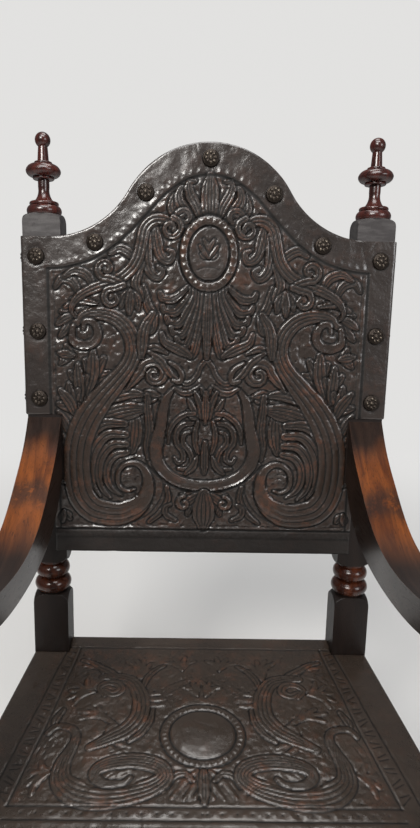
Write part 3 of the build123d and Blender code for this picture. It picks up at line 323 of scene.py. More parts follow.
def peg_grain():
    """End grain of the pegs."""
    f = Finish("peg_end_grain")
    pores = f.noise(900.0, 2.0, 0.6)
    colour = f.layers((0.06, 0.034, 0.022), (f.noise(120.0, 2.0).between(0.3, 0.7), (0.12, 0.07, 0.045)),
                      (pores.between(0.5, 0.65) * 0.6, (0.02, 0.012, 0.009)))
    return f.surface(colour, 0.5 + pores * 0.2, pores, FINE_BUMP)


WALNUT_DARK, WALNUT_PALE, WALNUT_WORN = (0.014, 0.0085, 0.0065), (0.042, 0.023, 0.016), (0.2, 0.1, 0.05)
FINE_BUMP = 0.0003        # in metres, as all lengths in a finish
RING_LOW, RING_HIGH = 0.562, 0.617                    # the turned rings of the rear posts
RING_SOFT = 0.004         # over which their colour comes and goes
SHEEN_TOP_FROM = 1.120         # above this the rear posts are grey: scuffs and a painted sheen
walnut_up, walnut_across, walnut_deep = (waxed_wood("walnut_" + way, axis)
                                         for way, axis in (("up", "z"), ("across", "x"), ("deep", "y")))
back_hide_finish = tooled_hide("back_hide", (0.0240, 0.0145, 0.0098), (0.027, 0.0200, 0.0168),
                               (0.090, 0.035, 0.018), 0.21)
seat_hide_finish = tooled_hide("seat_hide", (0.027, 0.0185, 0.0130), (0.036, 0.0255, 0.0190),
                               (0.100, 0.039, 0.020), 0.20)
bronze = nail_bronze()


# ---- mesh helpers ----
def on_back(across, up, out):
    """Points of the raked back in metres, from millimetres across, up the slope and out of it."""
    across, up, out = np.broadcast_arrays(across, up, out)
    y = up * sin(RAKE) - out * cos(RAKE) + BACK_SHIFT
    z = SEAT_H + up * cos(RAKE) + out * sin(RAKE)
    return np.stack([across, y, z], -1) * MM


def on_seat(across, back, z):
    """Points of the seat in metres, from millimetres across, back from the posts and up."""
    across, back, z = np.broadcast_arrays(across, back, z)
    return np.stack([across, back + BACK_SHIFT, z], -1) * MM


def new_object(name, data):
    made = bpy.data.objects.new(name, data)
    bpy.context.scene.collection.objects.link(made)
    return made


def new_piece(name, points, faces, finish, smooth=True):
    mesh = bpy.data.meshes.new(name)
    mesh.from_pydata([tuple(p) for p in points], [], faces)
    mesh.materials.append(finish)
    if smooth:
        mesh.shade_smooth()
    mesh.update()
    return new_object(name, mesh)


def close_up(mesh):
    """Drops loose points, turns every face outwards and keeps the cut edges sharp."""
    shape = bmesh.new()
    shape.from_mesh(mesh)
    bmesh.ops.delete(shape, geom=[v for v in shape.verts if not v.link_faces], context="VERTS")
    bmesh.ops.recalc_face_normals(shape, faces=shape.faces)
    shape.to_mesh(mesh)
    shape.free()
    mesh.set_sharp_from_angle(angle=radians(CUT_EDGE))


def settle(piece):
    """Makes what the piece's modifiers show its own mesh."""
    shown = piece.evaluated_get(bpy.context.evaluated_depsgraph_get())
    piece.data = bpy.data.meshes.new_from_object(shown)
    piece.modifiers.clear()


def stand_in(piece, node):
    """The piece takes the node's place and rides on the one body."""
    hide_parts(node)
    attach(piece, "root")


def carry(mesh, name, values):
    """A value at each point, for the finishes to read."""
    mesh.attributes.new(name, "FLOAT", "POINT").data.foreach_set("value", np.asarray(values, np.float32))


def smooth_line(points, step=1.0):
    """An even row of points along a smooth curve through the given ones."""
    p = np.array(points, float)
    ends = np.vstack([2 * p[0] - p[1], p, 2 * p[-1] - p[-2]])
    runs = []
    t = np.linspace(0, 1, SPAN_STEPS, endpoint=False)[:, None]
    for a, b, c, d in zip(ends, ends[1:], ends[2:], ends[3:]):
        runs.append(0.5 * (2 * b + (c - a) * t + (2 * a - 5 * b + 4 * c - d) * t ** 2
                           + (3 * b - a - 3 * c + d) * t ** 3))
    fine = np.vstack(runs + [p[-1:]])
    lengths = np.concatenate([[0], np.cumsum(np.hypot(*np.diff(fine, axis=0).T))])
    along = np.linspace(0, lengths[-1], max(int(lengths[-1] / step), 4))
    return np.stack([np.interp(along, lengths, fine[:, i]) for i in (0, 1)], 1)


def spiral(centre, outer, inner, start, turns, squash=1.0):
    """Points from the outside of a curl to its eye; start is degrees, turns is signed."""
    t = np.linspace(0, 1, max(int(abs(turns) * 10), 6))
    radius = outer + (inner - outer) * t
    angle = radians(start) + 2 * pi * turns * t
    return [(centre[0] + r * cos(a), centre[1] + r * sin(a) * squash) for r, a in zip(radius, angle)]


def oval(wide, tall, level, count=40, past=0.1):
    """Points down the right half of an upright oval; past is how far they run over its ends."""
    turns = np.linspace(-pi / 2 - past, pi / 2 + past, count)
    return [(wide * cos(a), level + tall * sin(a)) for a in turns]


def ease(share):
    return share * share * (3 - 2 * share)


def ramp(reach, run):
    """0 at the start of a run and 1 from its end on."""
    return np.clip(reach / run, 0, 1)


def bump(away, wide):
    return np.exp(-(away / wide) ** 2)


def mirrored(half):
    """Grid lines from 0 outwards, repeated on the other side."""
    return np.concatenate([-half[:0:-1], half])


def steps(*stops):
    """Grid lines from stop to stop, each run with its own pitch: (stop, pitch, stop, pitch, ...)."""
    lines = [stops[0]]
    for start, pitch, end in zip(stops[0::2], stops[1::2], stops[2::2]):
        count = max(round(abs(end - start) / pitch), 1)
        lines += [start + (end - start) * i / count for i in range(1, count + 1)]
    return np.array(lines)


# ---- leather tooling ----
OUTLINE_CUT = 1.1         # depth of the line cut round raised work
OUTLINE_OFF = 1.3         # how far outside the work that line lies
OUTLINE_WIDE = 1.25
OUTLINE_REACH = 7         # how far outside the work a ribbon changes the hide
WORK_EDGE = 1.2           # width of the step from the ground up to raised work
FLUTE_DEPTH = 1.35
FLUTE_WIDE = 1.7
FLUTE_DARK_HALF = 1.1           # half width of the darkening in a flute: dirt and painted shade
FLUTE_ROOM = 4.0          # flutes closer than this are shallower
RIM_IN, RIM_WIDE, RIM_RISE = 1.8, 1.3, 0.9            # proud rims of plain bands
LEAF_SHAPE = np.array([0.5, 0.75, 0.95, 1.0, 0.9, 0.5])
BROAD_LEAF = 12           # lobes of a fan wider than this have two flutes
SWELLS = ((34.0, 0.55), (15.0, 0.34), (7.0, 0.15))    # spacing and height of the hide's own swells
CALM_FOLD = 22.0          # the swells die out this near a fold
LUMPS = ((17.0, 0.45), (8.5, 0.55), (4.6, 0.60))      # spacing and height of the beaten ground
SCRATCH_DEEP, SCRATCH_WIDE, SCRATCH_BOW = 0.35, 1.3, 0.004
BATCH = 4000              # places measured against a line at a time
BLUR_TURNS = 8            # rounds of blur that make a place's surroundings
RIM_SINK = 1.0            # the worked face is rounded down this far at its cut edge


class Hide:
    """A flat hide under the tools, as a grid of places and the height the tools leave."""

    def __init__(self, across, along):
        self.grid_x, self.grid_y = np.meshgrid(across, along)
        self.x, self.y = np.abs(self.grid_x).ravel(), self.grid_y.ravel()
        self.h, self.ink, self.worked = np.zeros((3, self.x.size))

    def near(self, line, reach):
        """Places near a line: which, how far along from 0 to 1, and the signed distance from it."""
        low, high = line.min(0) - reach, line.max(0) + reach
        near_x = (self.x > low[0]) & (self.x < high[0])
        found = np.flatnonzero(near_x & (self.y > low[1]) & (self.y < high[1]))
        spot = np.stack([self.x[found], self.y[found]], 1)
        closest = np.empty(len(found), int)
        for i in range(0, len(found), BATCH):
            part = spot[i:i + BATCH]
            gap = (part[:, :1] - line[:, 0]) ** 2 + (part[:, 1:] - line[:, 1]) ** 2
            closest[i:i + BATCH] = gap.argmin(1)
        heading = np.gradient(line, axis=0)
        heading /= np.hypot(*heading.T)[:, None]
        away, toward = spot - line[closest], heading[closest]
        side = toward[:, 0] * away[:, 1] - toward[:, 1] * away[:, 0]
        over = (away * toward).sum(1)
        past = ((closest == 0) & (over < 0)) | ((closest == len(line) - 1) & (over > 0))
        side = np.where(past, np.copysign(np.hypot(side, over), side), side)
        keep = np.abs(side) < reach
        return found[keep], closest[keep] / (len(line) - 1), side[keep]

    # darkens places: dirt and wax, with painted shade in the cuts
    def soil_and_shade(self, found, amount):
        self.ink[found] = np.maximum(self.ink[found], amount)

    def groove(self, found, away, wide, deep):
        """Cuts a groove and darkens it: wax and dirt, with painted shade."""
        shape = bump(away, wide)
        self.h[found] -= deep * shape
        self.soil_and_shade(found, min(deep, 1.0) * shape)

    def ribbon(self, points, widths, rise=1.5, flutes=0, fade=None, cut=OUTLINE_CUT, plain=False):
        """Raised work along a line with a line cut round it: fluted, or plain with proud rims."""
        widths = np.atleast_1d(widths).astype(float)
        found, t, side = self.near(smooth_line(points), widths.max() / 2 + OUTLINE_REACH)
        half = np.interp(t, np.linspace(0, 1, len(widths)), widths) / 2
        across = np.clip(side / np.maximum(half, 0.3), -1, 1)
        share = np.clip((half - np.abs(side)) / WORK_EDGE + 0.5, 0, 1)
        if plain:
            rim = bump(np.abs(side) - half + RIM_IN, RIM_WIDE)
            body = rise * (0.55 + 0.3 * (1 - across ** 2)) + RIM_RISE * rim
        else:
            body = rise * (0.5 + 0.5 * np.sqrt(np.clip(1 - across ** 4, 0, 1)))
        self.h[found] = self.h[found] * (1 - share) + body * share
        self.ink[found] *= 1 - share
        self.worked[found] = np.maximum(self.worked[found], share * (0.3 if plain else 1.0))
        if flutes:
            lines = np.linspace(-1, 1, flutes + 2)[1:-1]
            strength = 1.0 if fade is None else np.interp(t, *fade)
            gap = np.abs(across[:, None] - lines).min(1) * half
            room = np.clip(half * 2 / (flutes + 1) / FLUTE_ROOM, 0, 1) * (share > 0.5)
            self.h[found] -= FLUTE_DEPTH * strength * room * np.exp(-gap / FLUTE_WIDE)
            self.soil_and_shade(found, strength * room * bump(gap, FLUTE_DARK_HALF))
        self.groove(found, np.abs(side) - half - OUTLINE_OFF, OUTLINE_WIDE, cut)

    def leaf(self, points, width, rise=1.4, flutes=1):
        """A lobe: narrow at its root, full beyond its middle and round at its tip."""
        self.ribbon(points, LEAF_SHAPE * width, rise, flutes)

    def fan(self, root, tips, width, rise=1.3, bow=0.12):
        """Lobes from one root to several tips, the middle ones on top."""
        off_middle = [i - (len(tips) - 1) / 2 for i in range(len(tips))]
        for off, tip in sorted(zip(off_middle, tips), key=lambda lobe: -abs(lobe[0])):
            dx, dy, turn = tip[0] - root[0], tip[1] - root[1], bow * off
            middle = (root[0] + dx / 2 - dy * turn, root[1] + dy / 2 + dx * turn)
            self.leaf([root, middle, tip], width, rise, 2 if width > BROAD_LEAF else 1)

    def line(self, points, wide, rise):
        """A single stroke: cut where rise is below 0, and raised above it."""
        found, _, side = self.near(smooth_line(points), wide * 3)
        if rise < 0:
            self.groove(found, side, wide, -rise)
        else:
            self.h[found] += rise * bump(side, wide)

    def around(self, x, y, spot, radius):
        """Places round a spot, and how far off they are."""
        near = np.flatnonzero((np.abs(x - spot[0]) < 3 * radius) & (np.abs(y - spot[1]) < 3 * radius))
        return near, np.hypot(x[near] - spot[0], y[near] - spot[1])

    def studs(self, spots, radius, rise):
        """Small domes or punch marks."""
        for spot in spots:
            near, away = self.around(self.x, self.y, spot, radius)
            if rise > 0:
                self.h[near] += rise * bump(away, radius)
                self.ink[near] *= 1 - bump(away, radius)
            else:
                self.groove(near, away, radius, -rise)

    def lumps(self, spacing, random):
        """Soft unevenness with that spacing, from -1 to 1, different on the two sides."""
        x, y = self.grid_x.ravel() / spacing, self.grid_y.ravel() / spacing
        left, low = np.floor(x), np.floor(y)
        column, row = (left - left.min()).astype(int), (low - low.min()).astype(int)
        heights = random.uniform(-1, 1, (row.max() + 2, column.max() + 2))
        u, v = ease(x - left), ease(y - low)
        first = heights[row, column] * (1 - u) + heights[row, column + 1] * u
        second = heights[row + 1, column] * (1 - u) + heights[row + 1, column + 1] * u
        return first * (1 - v) + second * v

    def unevenness(self, near_fold, least, random):
        """The hide's own lie: soft swells all over, less near its folds."""
        share = np.clip(near_fold, least, 1)
        for spacing, height in SWELLS:
            self.h += height * share * self.lumps(spacing, random)

    def matting(self, inside, deep, rough, random):
        """Ground beaten down inside a mask, left lumpy by the punches."""
        self.h -= deep * inside
        for spacing, height in LUMPS:
            self.h += height * rough * self.lumps(spacing, random) * inside

    def level(self, inside, height, worked):
        """A smooth field at one height."""
        self.h = self.h * (1 - inside) + height * inside
        self.worked = self.worked * (1 - worked * inside)

    def wear(self, random, dents, scratches):
        """Dents and scratches that differ from side to side."""
        x, y = self.grid_x.ravel(), self.grid_y.ravel()
        low, high = (x.min(), y.min()), (x.max(), y.max())
        for _ in range(dents):
            spot = random.uniform(low, high)
            radius, deep = random.uniform(2.5, 9.0), random.uniform(0.15, 0.5)
            near, away = self.around(x, y, spot, radius)
            self.h[near] -= deep * bump(away, radius)
        for _ in range(scratches):
            cx, cy = random.uniform(low, high)
            turn, run = random.uniform(0, pi), random.uniform(15, 60)
            along = (x - cx) * cos(turn) + (y - cy) * sin(turn)
            off = (y - cy) * cos(turn) - (x - cx) * sin(turn) + SCRATCH_BOW * along ** 2
            self.h -= SCRATCH_DEEP * bump(off, SCRATCH_WIDE) * (np.abs(along) < run / 2)

    def press_nails(self, spots):
        """The hide pulled down a little round each nail."""
        for px, py in spots:
            away = np.hypot(self.x - px, self.y - py)
            self.h = self.h * ramp(away - NAIL_R, 5) - 0.55 * bump(away - NAIL_R, 3.5)

    def hollows(self):
        """How far each place lies below or above its surroundings, 0.5 where level."""
        field = self.h.reshape(self.grid_x.shape)
        wide = field.copy()
        for _ in range(BLUR_TURNS):
            padded = np.pad(wide, 1, mode="edge")
            wide = (padded[1:-1, :-2] + padded[1:-1, 2:] + padded[:-2, 1:-1] + padded[2:, 1:-1]
                    + 2 * padded[1:-1, 1:-1]) / 6
        return np.clip(0.5 + (field - wide).ravel() * 0.5, 0, 1)


def open_edges(faces):
    """What follows each point along the outline of the faces."""
    edges = {}
    for face in faces:
        for a, b in zip(face, face[1:] + face[:1]):
            if (b, a) in edges:
                del edges[(b, a)]
            else:
                edges[(a, b)] = True
    return {a: b for a, b in edges}


def hide_piece(name, hide, kept, place, lining_pitch, finish, drop=None):
    """A closed hide: its worked face, a plain flesh side and the cut edge between them.

    kept is the grid of squares that belong to the hide, and place bends flat points, with their
    height, onto the chair. drop moves grid points, in the flat, onto a curved cut edge.
    """
    index = np.arange(hide.x.size).reshape(hide.grid_x.shape)
    flat_x, flat_y = hide.grid_x.ravel().copy(), hide.grid_y.ravel().copy()
    faces = [[index[r, c], index[r, c + 1], index[r + 1, c + 1], index[r + 1, c]]
             for r, c in zip(*np.nonzero(kept))]
    if drop is not None:
        faces += drop(index, flat_x, flat_y)
    used = np.unique(np.concatenate([np.array(f) for f in faces]))
    renumber = np.full(hide.x.size, -1)
    renumber[used] = np.arange(len(used))
    faces = [[int(renumber[i]) for i in f] for f in faces]
    flat_x, flat_y = flat_x[used], flat_y[used]
    onward = open_edges(faces)
    loop = [next(iter(onward))]
    while onward[loop[-1]] != loop[0]:
        loop.append(onward[loop[-1]])
    height = hide.h[used]
    height[loop] -= RIM_SINK
    # the flesh side, a wide net over the same outline
    inside = [(x, y) for x in np.arange(flat_x.min() + 5, flat_x.max(), lining_pitch)
              for y in np.arange(flat_y.min() + 5, flat_y.max(), lining_pitch)]
    seeds = [Vector(s) for s in [(flat_x[i], flat_y[i]) for i in loop] + inside]
    ring = [(i, (i + 1) % len(loop)) for i in range(len(loop))]
    spots, _, lining, sources, _, _ = delaunay_2d_cdt(seeds, ring, [], 1, 1e-4)
    spots = np.array([tuple(s) for s in spots])
    below = {loop[origin]: len(used) + i for i, origins in enumerate(sources)
             for origin in origins if origin < len(loop)}
    faces += [[len(used) + i for i in reversed(f)] for f in lining]
    faces += [[b, a, below[a], below[b]] for a, b in onward.items()]
    points = np.vstack([place(flat_x, flat_y, height),
                        place(spots[:, 0], spots[:, 1], np.full(len(spots), -LEATHER))])
    piece = new_piece(name, points, faces, finish)
    for key, values, under in (("hollow", hide.hollows(), 0.45), ("worked", hide.worked, 0),
                               ("ink", hide.ink, 0)):
        carry(piece.data, key, np.concatenate([values[used], np.full(len(spots), under)]))
    close_up(piece.data)
    cut_x, cut_y = flat_x[loop], flat_y[loop]
    area = abs((cut_x * np.roll(cut_y, -1) - np.roll(cut_x, -1) * cut_y).sum()) / 2
    area * MM * MM
    return piece


# ---- the back hide ----
CREST_LINE = [(-20, 768.5), (0, 769), (25, 765), (48, 754), (70, 737), (85, 721), (100, 705), (120, 685),
              (140, 667), (160, 653.5), (180, 643.5), (200, 637), (222, 632), (243, 630.5)]
FOOT_LINE_V = 221.0
STRIP_DARKENING = 0.46         # how much darker and duller the strip below that line is made
BEAD_ROW_V = 212.0
CARTOUCHE_V = 656         # middle of the oval frame
SIDE_LINE_HIGH = 243.0    # beside the nails
SIDE_LINE_LOW = 231.0     # under the arms

CURL_LINE = [(206, 545), (207, 524), (192, 516), (176, 520), (168, 534), (174, 550), (187, 553),
             (191, 541)]
BODY_LINE = [(204, 548), (186, 562), (162, 565), (138, 557), (120, 538), (113, 512), (120, 487),
             (140, 461), (163, 434), (184, 404), (198, 372), (204, 338), (203, 302), (196, 273),
             (179, 253), (155, 246), (132, 246), (112, 256), (97, 271), (90, 292), (93, 314),
             (105, 328), (121, 330), (134, 321), (139, 306), (135, 291), (123, 284), (112, 287)]
BODY_WIDTHS = (10, 18, 20, 22, 24, 25, 26, 28, 32, 36, 40, 42, 42, 42, 42, 42, 42, 42, 40, 38, 34, 24,
               16, 11, 8, 7, 6, 4)
STEM_LINE = [(48, 684), (62, 702), (82, 704), (96, 692), (102, 668), (108, 646), (121, 628), (140, 615),
             (163, 607), (186, 597), (202, 585), (208, 570), (203, 560)]
STEM_WIDTHS = (6, 14, 17, 17, 17, 17, 17, 17, 17, 15, 13, 9, 4)
LYRE_LINE = [(-12, 294), (0, 294), (20, 296), (40, 301), (59, 312), (73, 330), (78, 350), (75, 368),
             (70, 391), (67, 414), (62, 434), (52, 450)]
LYRE_WIDTHS = (17, 17, 17, 18, 18, 19, 20, 19, 17, 16, 13, 6)


def ogee(u):
    """The arched top edge of the back hide."""
    u = np.abs(np.asarray(u, float))
    low_x = sqrt((2 * CREST_R) ** 2 - (SHOULDER + 2 * CREST_R - HIDE_TOP) ** 2)
    arch = HIDE_TOP - CREST_R + np.sqrt(np.clip(CREST_R ** 2 - u ** 2, 0, None))
    hollow = SHOULDER + CREST_R - np.sqrt(np.clip(CREST_R ** 2 - (low_x - u) ** 2, 0, None))
    return np.where(u < low_x / 2, arch, np.where(u < low_x, hollow, SHOULDER))


def scroll_leaves(hide):
    """Leaves that the scrolls lie over."""
    for root, tips, width in (
            ((186, 440), [(152, 474), (160, 496), (176, 506), (188, 492)], 19),
            ((196, 430), [(186, 468), (200, 486), (212, 474)], 16),
            ((203, 404), [(200, 446), (214, 456), (228, 446), (231, 424)], 16),
            ((214, 372), [(226, 398), (232, 412)], 13),
            ((217, 346), [(233, 360), (232, 380)], 12),
            ((206, 562), [(214, 545), (226, 530), (230, 548), (224, 567)], 13),
            ((170, 580), [(190, 586), (208, 586), (218, 574)], 11),
            ((226, 296), [(232, 326), (233, 308)], 9),
            ((206, 500), [(218, 516), (228, 504), (226, 488)], 13),
            ((226, 248), [(216, 236), (228, 232)], 12)):
        hide.fan(root, tips, width)


def scroll_combs(hide):
    """Lobes and combs inside the big scroll."""
    hide.leaf([(112, 412), (114, 384), (117, 352)], 30, 1.3, 4)
    hide.leaf([(176, 424), (148, 434), (120, 442), (98, 441)], 17, 1.5, 2)
    hide.leaf([(190, 396), (162, 403), (130, 413), (97, 419)], 29, 1.7, 4)
    hide.ribbon([(124, 347), (143, 342), (155, 326), (156, 304), (147, 286), (132, 276)],
                (9, 13, 13, 12, 8, 3), 1.4, 1)
    hide.ribbon([(125, 361), (148, 359), (165, 340), (170, 316), (165, 290), (150, 272)],
                (10, 15, 16, 14, 9, 3), 1.5, 1)
    hide.ribbon([(126, 377), (154, 376), (174, 355), (182, 326), (178, 296), (166, 274)],
                (11, 16, 17, 15, 9, 3), 1.6, 1)
    hide.ribbon([(128, 394), (160, 393), (182, 374), (193, 346), (194, 312), (186, 284)],
                (11, 17, 18, 15, 9, 4), 1.7, 2)


def big_scroll(hide):
    """Big scroll, its curl and its plain inner crescent."""
    hide.ribbon(BODY_LINE, BODY_WIDTHS, 1.9, 3,
                ([0, 0.04, 0.1, 0.62, 0.70, 0.77, 1], [0.2, 0.9, 1, 1, 0.6, 0.0, 0.0]))
    hide.ribbon(CURL_LINE, (8, 12, 14, 14, 12, 9, 6), 1.9, plain=True)
    hide.studs([(189, 534)], 6.5, 1.4)
    hide.line([(66, 304), (66, 286), (73, 266), (90, 245), (112, 232)], 1.3, -0.9)
    hide.line([(78, 302), (79, 284), (86, 266), (101, 249), (122, 238)], 1.3, -0.6)
    hide.studs([(121, 304)], 9.0, 1.6)
    for level in (304, 311, 318):
        hide.line([(114, level - 1.5), (121, level + 1), (129, level - 1.5)], 1.1, 0.7)
        hide.line([(114, level - 4.5), (121, level - 2.5), (129, level - 4.5)], 0.9, -0.5)


def side_curls(hide):
    """Curls beside the lyre."""
    hide.ribbon([(124, 448)] + spiral((81, 473), 21, 5, 5, 1.3), (4, 12, 17, 17, 15, 13, 10, 7), 1.7, 1)
    hide.studs([(80, 473)], 4.5, 1.0)
    hide.fan((74, 440), [(96, 432), (94, 446), (62, 434)], 11)
    hide.leaf([(62, 507), (80, 514), (98, 510), (106, 522)], 12)


def lyre_band(hide):
    """Lyre band, and the bright edge that joins it to the scroll."""
    hide.ribbon([(92, 440), (90, 410), (88, 384), (92, 356), (90, 338)], (8, 12, 13, 12, 6), 1.3, 2)
    hide.ribbon(LYRE_LINE, LYRE_WIDTHS, 1.6, plain=True)
    hide.line([(126, 336), (107, 342), (91, 335), (77, 319), (62, 304), (40, 293), (20, 288), (0, 286),
               (-6, 286)], 1.5, 1.3)
    hide.line([(92, 330), (78, 313), (62, 299), (40, 288), (20, 283), (0, 281), (-6, 281)], 1.5, -1.2)


def lyre_top(hide):
    """Ogee top of the lyre, with a hook on each side."""
    hide.ribbon([(-6, 499), (0, 497), (9, 486), (15, 472), (28, 460), (44, 464), (56, 474), (70, 494),
                 (90, 508)], (7, 7, 7, 7, 8, 9, 10, 9, 5), 1.1, 1, None, 1.0)
    hide.ribbon([(58, 492), (45, 484), (38, 472), (42, 461), (52, 464)], (5, 7, 8, 7, 5), 1.5)
    hide.leaf([(50, 452), (36, 444), (22, 446), (10, 456)], 9, 1.2)
    hide.studs([(45, 463), (11, 463)], 3.4, 1.3)


def lyre_plant(hide):
    """Lobes inside the lyre."""
    hide.fan((6, 404), [(28, 416), (27, 434), (17, 446), (7, 452)], 10, 1.6)
    hide.leaf([(0, 396), (0, 420), (0, 446)], 11, 1.6, 2)
    hide.ribbon([(18, 412), (32, 410), (46, 400), (56, 384), (58, 364)], (6, 8, 8, 7, 4), 1.4, 1)
    hide.ribbon([(20, 396), (34, 394), (44, 384), (45, 366), (36, 352), (34, 338), (42, 332), (48, 340)],
                (6, 8, 9, 9, 9, 8, 7, 5), 1.7, 1)
    hide.ribbon([(24, 382), (33, 378), (34, 364), (24, 350), (20, 334), (28, 322), (42, 322)],
                (5, 7, 8, 8, 8, 7, 5), 1.5, 1)
    hide.ribbon([(12, 398), (16, 380), (15, 362), (10, 346)], (6, 8, 8, 4), 1.5, 1)
    hide.leaf([(0, 366), (0, 345), (0, 316)], 13, 1.5, 2)
    hide.leaf([(12, 342), (18, 326), (30, 314)], 10, 1.4)
    hide.studs([(9, 376), (9, 366), (0, 384)], 4.2, 1.5)
    for level, half in ((340, 6), (334, 8), (327, 9)):
        hide.line([(38 - half, level + 2), (38, level - 1), (38 + half, level + 2)], 1.3, 0.9)


def lyre_drop(hide):
    """Drop under the lyre."""
    hide.fan((2, 284), [(36, 278), (40, 258), (26, 246)], 13)
    hide.ribbon(spiral((32, 264), 12, 3, 90, -1.0), (6, 7, 6, 4), 1.6)
    hide.leaf([(0, 280), (0, 260), (0, 227)], 36, 1.5, 4)
    hide.ribbon([(60, 292), (58, 270), (70, 248), (88, 232)], (6, 9, 9, 6), 1.2, 1)
    hide.ribbon([(46, 236), (60, 244), (62, 256), (54, 262)], (6, 9, 8, 5), 1.2, 1)


def shell(hide):
    """Shell of lobes under the cartouche."""
    top = 607
    for root, across, low in ((30, 73, 592), (25, 69, 573), (20, 63, 556), (15, 56, 540), (11, 47, 524),
                              (6, 35, 510)):
        lobe = [(root, top), (root + 2, (top + low) / 2 + 6), ((root + across) / 2, low - 3),
                (across - 5, low - 3), (across, low + 5)]
        hide.ribbon(lobe, (7, 10, 13, 13, 8), 1.8, 2)
    hide.leaf([(0, 600), (0, 560), (0, 500)], 15, 1.9, 3)
    hide.ribbon([(98, 606), (92, 580), (82, 560), (84, 542), (94, 538), (96, 550)],
                (8, 13, 14, 12, 9, 5), 1.5, 2)
    hide.leaf([(84, 566), (97, 542), (101, 500)], 17, 1.5, 2)
    hide.leaf([(70, 536), (64, 522), (44, 512), (26, 502)], 15, 1.4, 2)


def palmette(hide):
    """Palmette over the cartouche."""
    hide.ribbon([(34, 696), (46, 706), (56, 722), (52, 738), (42, 736)], (10, 15, 15, 11, 6), 1.6, 2)
    hide.ribbon([(24, 702), (34, 716), (45, 732), (44, 748), (34, 748), (33, 740)],
                (10, 15, 16, 12, 8, 5), 1.6, 2)
    hide.ribbon([(13, 706), (20, 724), (30, 742), (31, 757), (22, 760)], (10, 15, 16, 12, 6), 1.6, 2)
    hide.leaf([(0, 702), (0, 735), (0, 766)], 27, 1.8, 4)
    hide.ribbon(spiral((38, 708), 12, 3, 30, 1.1), (7, 7, 6, 4), 1.4, 1)


def stems(hide):
    """Stems from the palmette to the corners."""
    hide.ribbon([(82, 696), (78, 672), (72, 652), (60, 645), (54, 656), (62, 661)],
                (10, 16, 17, 14, 10, 6), 1.6, 2)
    hide.ribbon([(92, 684), (94, 656), (90, 632), (78, 620), (69, 629), (77, 636)],
                (10, 17, 17, 14, 10, 6), 1.6, 2)
    hide.ribbon([(104, 640), (118, 654), (134, 662), (148, 655)], (8, 14, 14, 8), 1.4, 2)
    hide.ribbon([(196, 596), (206, 612), (222, 616), (232, 604)], (8, 13, 12, 7), 1.3, 2)
    hide.ribbon([(174, 604), (184, 622), (202, 628), (218, 620)], (8, 14, 13, 7), 1.3, 2)
    hide.ribbon([(100, 640), (110, 612), (104, 590), (112, 576)], (8, 14, 14, 8), 1.3, 2)
    hide.fan((118, 600), [(106, 572), (120, 566), (132, 576)], 13, 1.2)
    hide.ribbon(STEM_LINE, STEM_WIDTHS, 1.8, 2)
    hide.ribbon(spiral((57, 692), 16, 4, 100, 1.35), (8, 9, 8, 6, 4), 1.6, 1)
    hide.ribbon([(134, 612)] + spiral((155, 632), 15, 4, -110, 1.1), (9, 11, 11, 9, 6), 1.8, 1)
    hide.ribbon([(128, 608), (142, 603)] + spiral((146, 588), 14, 3, 60, -1.1), (9, 10, 9, 7, 5), 1.7, 1)
    hide.studs([(154, 633), (146, 587), (79, 630)], 4.0, 1.1)


def cartouche(hide):
    """An oval frame of beads round a small sprig."""
    hide.ribbon(spiral((0, 655), 38, 38, -95, 1.06, 1.30), (13, 13), 1.2)
    inside = np.clip((1 - (hide.x / 31.5) ** 2 - ((hide.y - 657) / 40) ** 2) * 8, 0, 1)
    hide.level(inside, 0.7, 0.7)
    for wide, tall, rise in ((45.2, 57.5, -1.1), (31.6, 41.0, -1.1), (34.2, 44.5, 0.5)):
        hide.line(oval(wide, tall, CARTOUCHE_V), 1.7, rise)
    corners = [(dx, dy) for dx in (-1.3, 1.3) for dy in (-1.3, 1.3)]
    beads = oval(38.6, 49.5, CARTOUCHE_V, 14, 0)
    hide.studs([(bx + dx, by + dy) for bx, by in beads for dx, dy in corners], 1.9, 0.75)
    hide.line([(-4, 636), (8, 636), (17, 632)], 1.4, -0.6)
    hide.line([(-2, 636), (2, 650), (0, 668), (3, 680)], 1.5, 0.6)
    hide.fan((1, 650), [(12, 656), (14, 668), (8, 677)], 6, 0.9)


def back_border(hide):
    """Lines and stamps of the border."""
    hide.line(CREST_LINE, 2.2, -1.25)
    hide.line([(px, py + 4.4) for px, py in CREST_LINE], 1.6, 0.45)
    outside = smooth_line(CREST_LINE[1:], 11.5)
    hide.studs([(px + 3.0, py + 7.5) for px, py in outside[:-1]], 2.9, 0.75)
    hide.line([(SIDE_LINE_HIGH, 631), (SIDE_LINE_HIGH, ARM_HIGH - 5)], 2.2, -1.1)
    hide.line([(SIDE_LINE_HIGH - 9, 626), (SIDE_LINE_HIGH - 9, ARM_HIGH - 5)], 1.5, -0.5)
    hide.line([(SIDE_LINE_LOW, ARM_LOW), (SIDE_LINE_LOW, FOOT_LINE_V)], 2.0, -1.0)
    hide.line([(-5, FOOT_LINE_V - 1.5), (SIDE_LINE_LOW + 8, FOOT_LINE_V - 1.5)], 1.7, -1.4)
    hide.line([(-5, FOOT_LINE_V + 2.5), (SIDE_LINE_LOW + 4, FOOT_LINE_V + 2.5)], 1.5, 1.3)
    hide.studs(smooth_line([(4, BEAD_ROW_V), (100, BEAD_ROW_V), (236, BEAD_ROW_V)], 8.0), 2.4, 1.0)
    hide.line([(-5, BEAD_ROW_V - 7), (236, BEAD_ROW_V - 7)], 1.6, -0.8)
    # the strip below the foot line is made darker and duller
    hide.ink = np.maximum(hide.ink, STRIP_DARKENING * ramp(FOOT_LINE_V - 2 - hide.y, 3))


BACK_WORK = (scroll_leaves, scroll_combs, big_scroll, side_curls, lyre_band, lyre_top,
             lyre_plant, lyre_drop, shell, palmette, stems, cartouche, back_border)


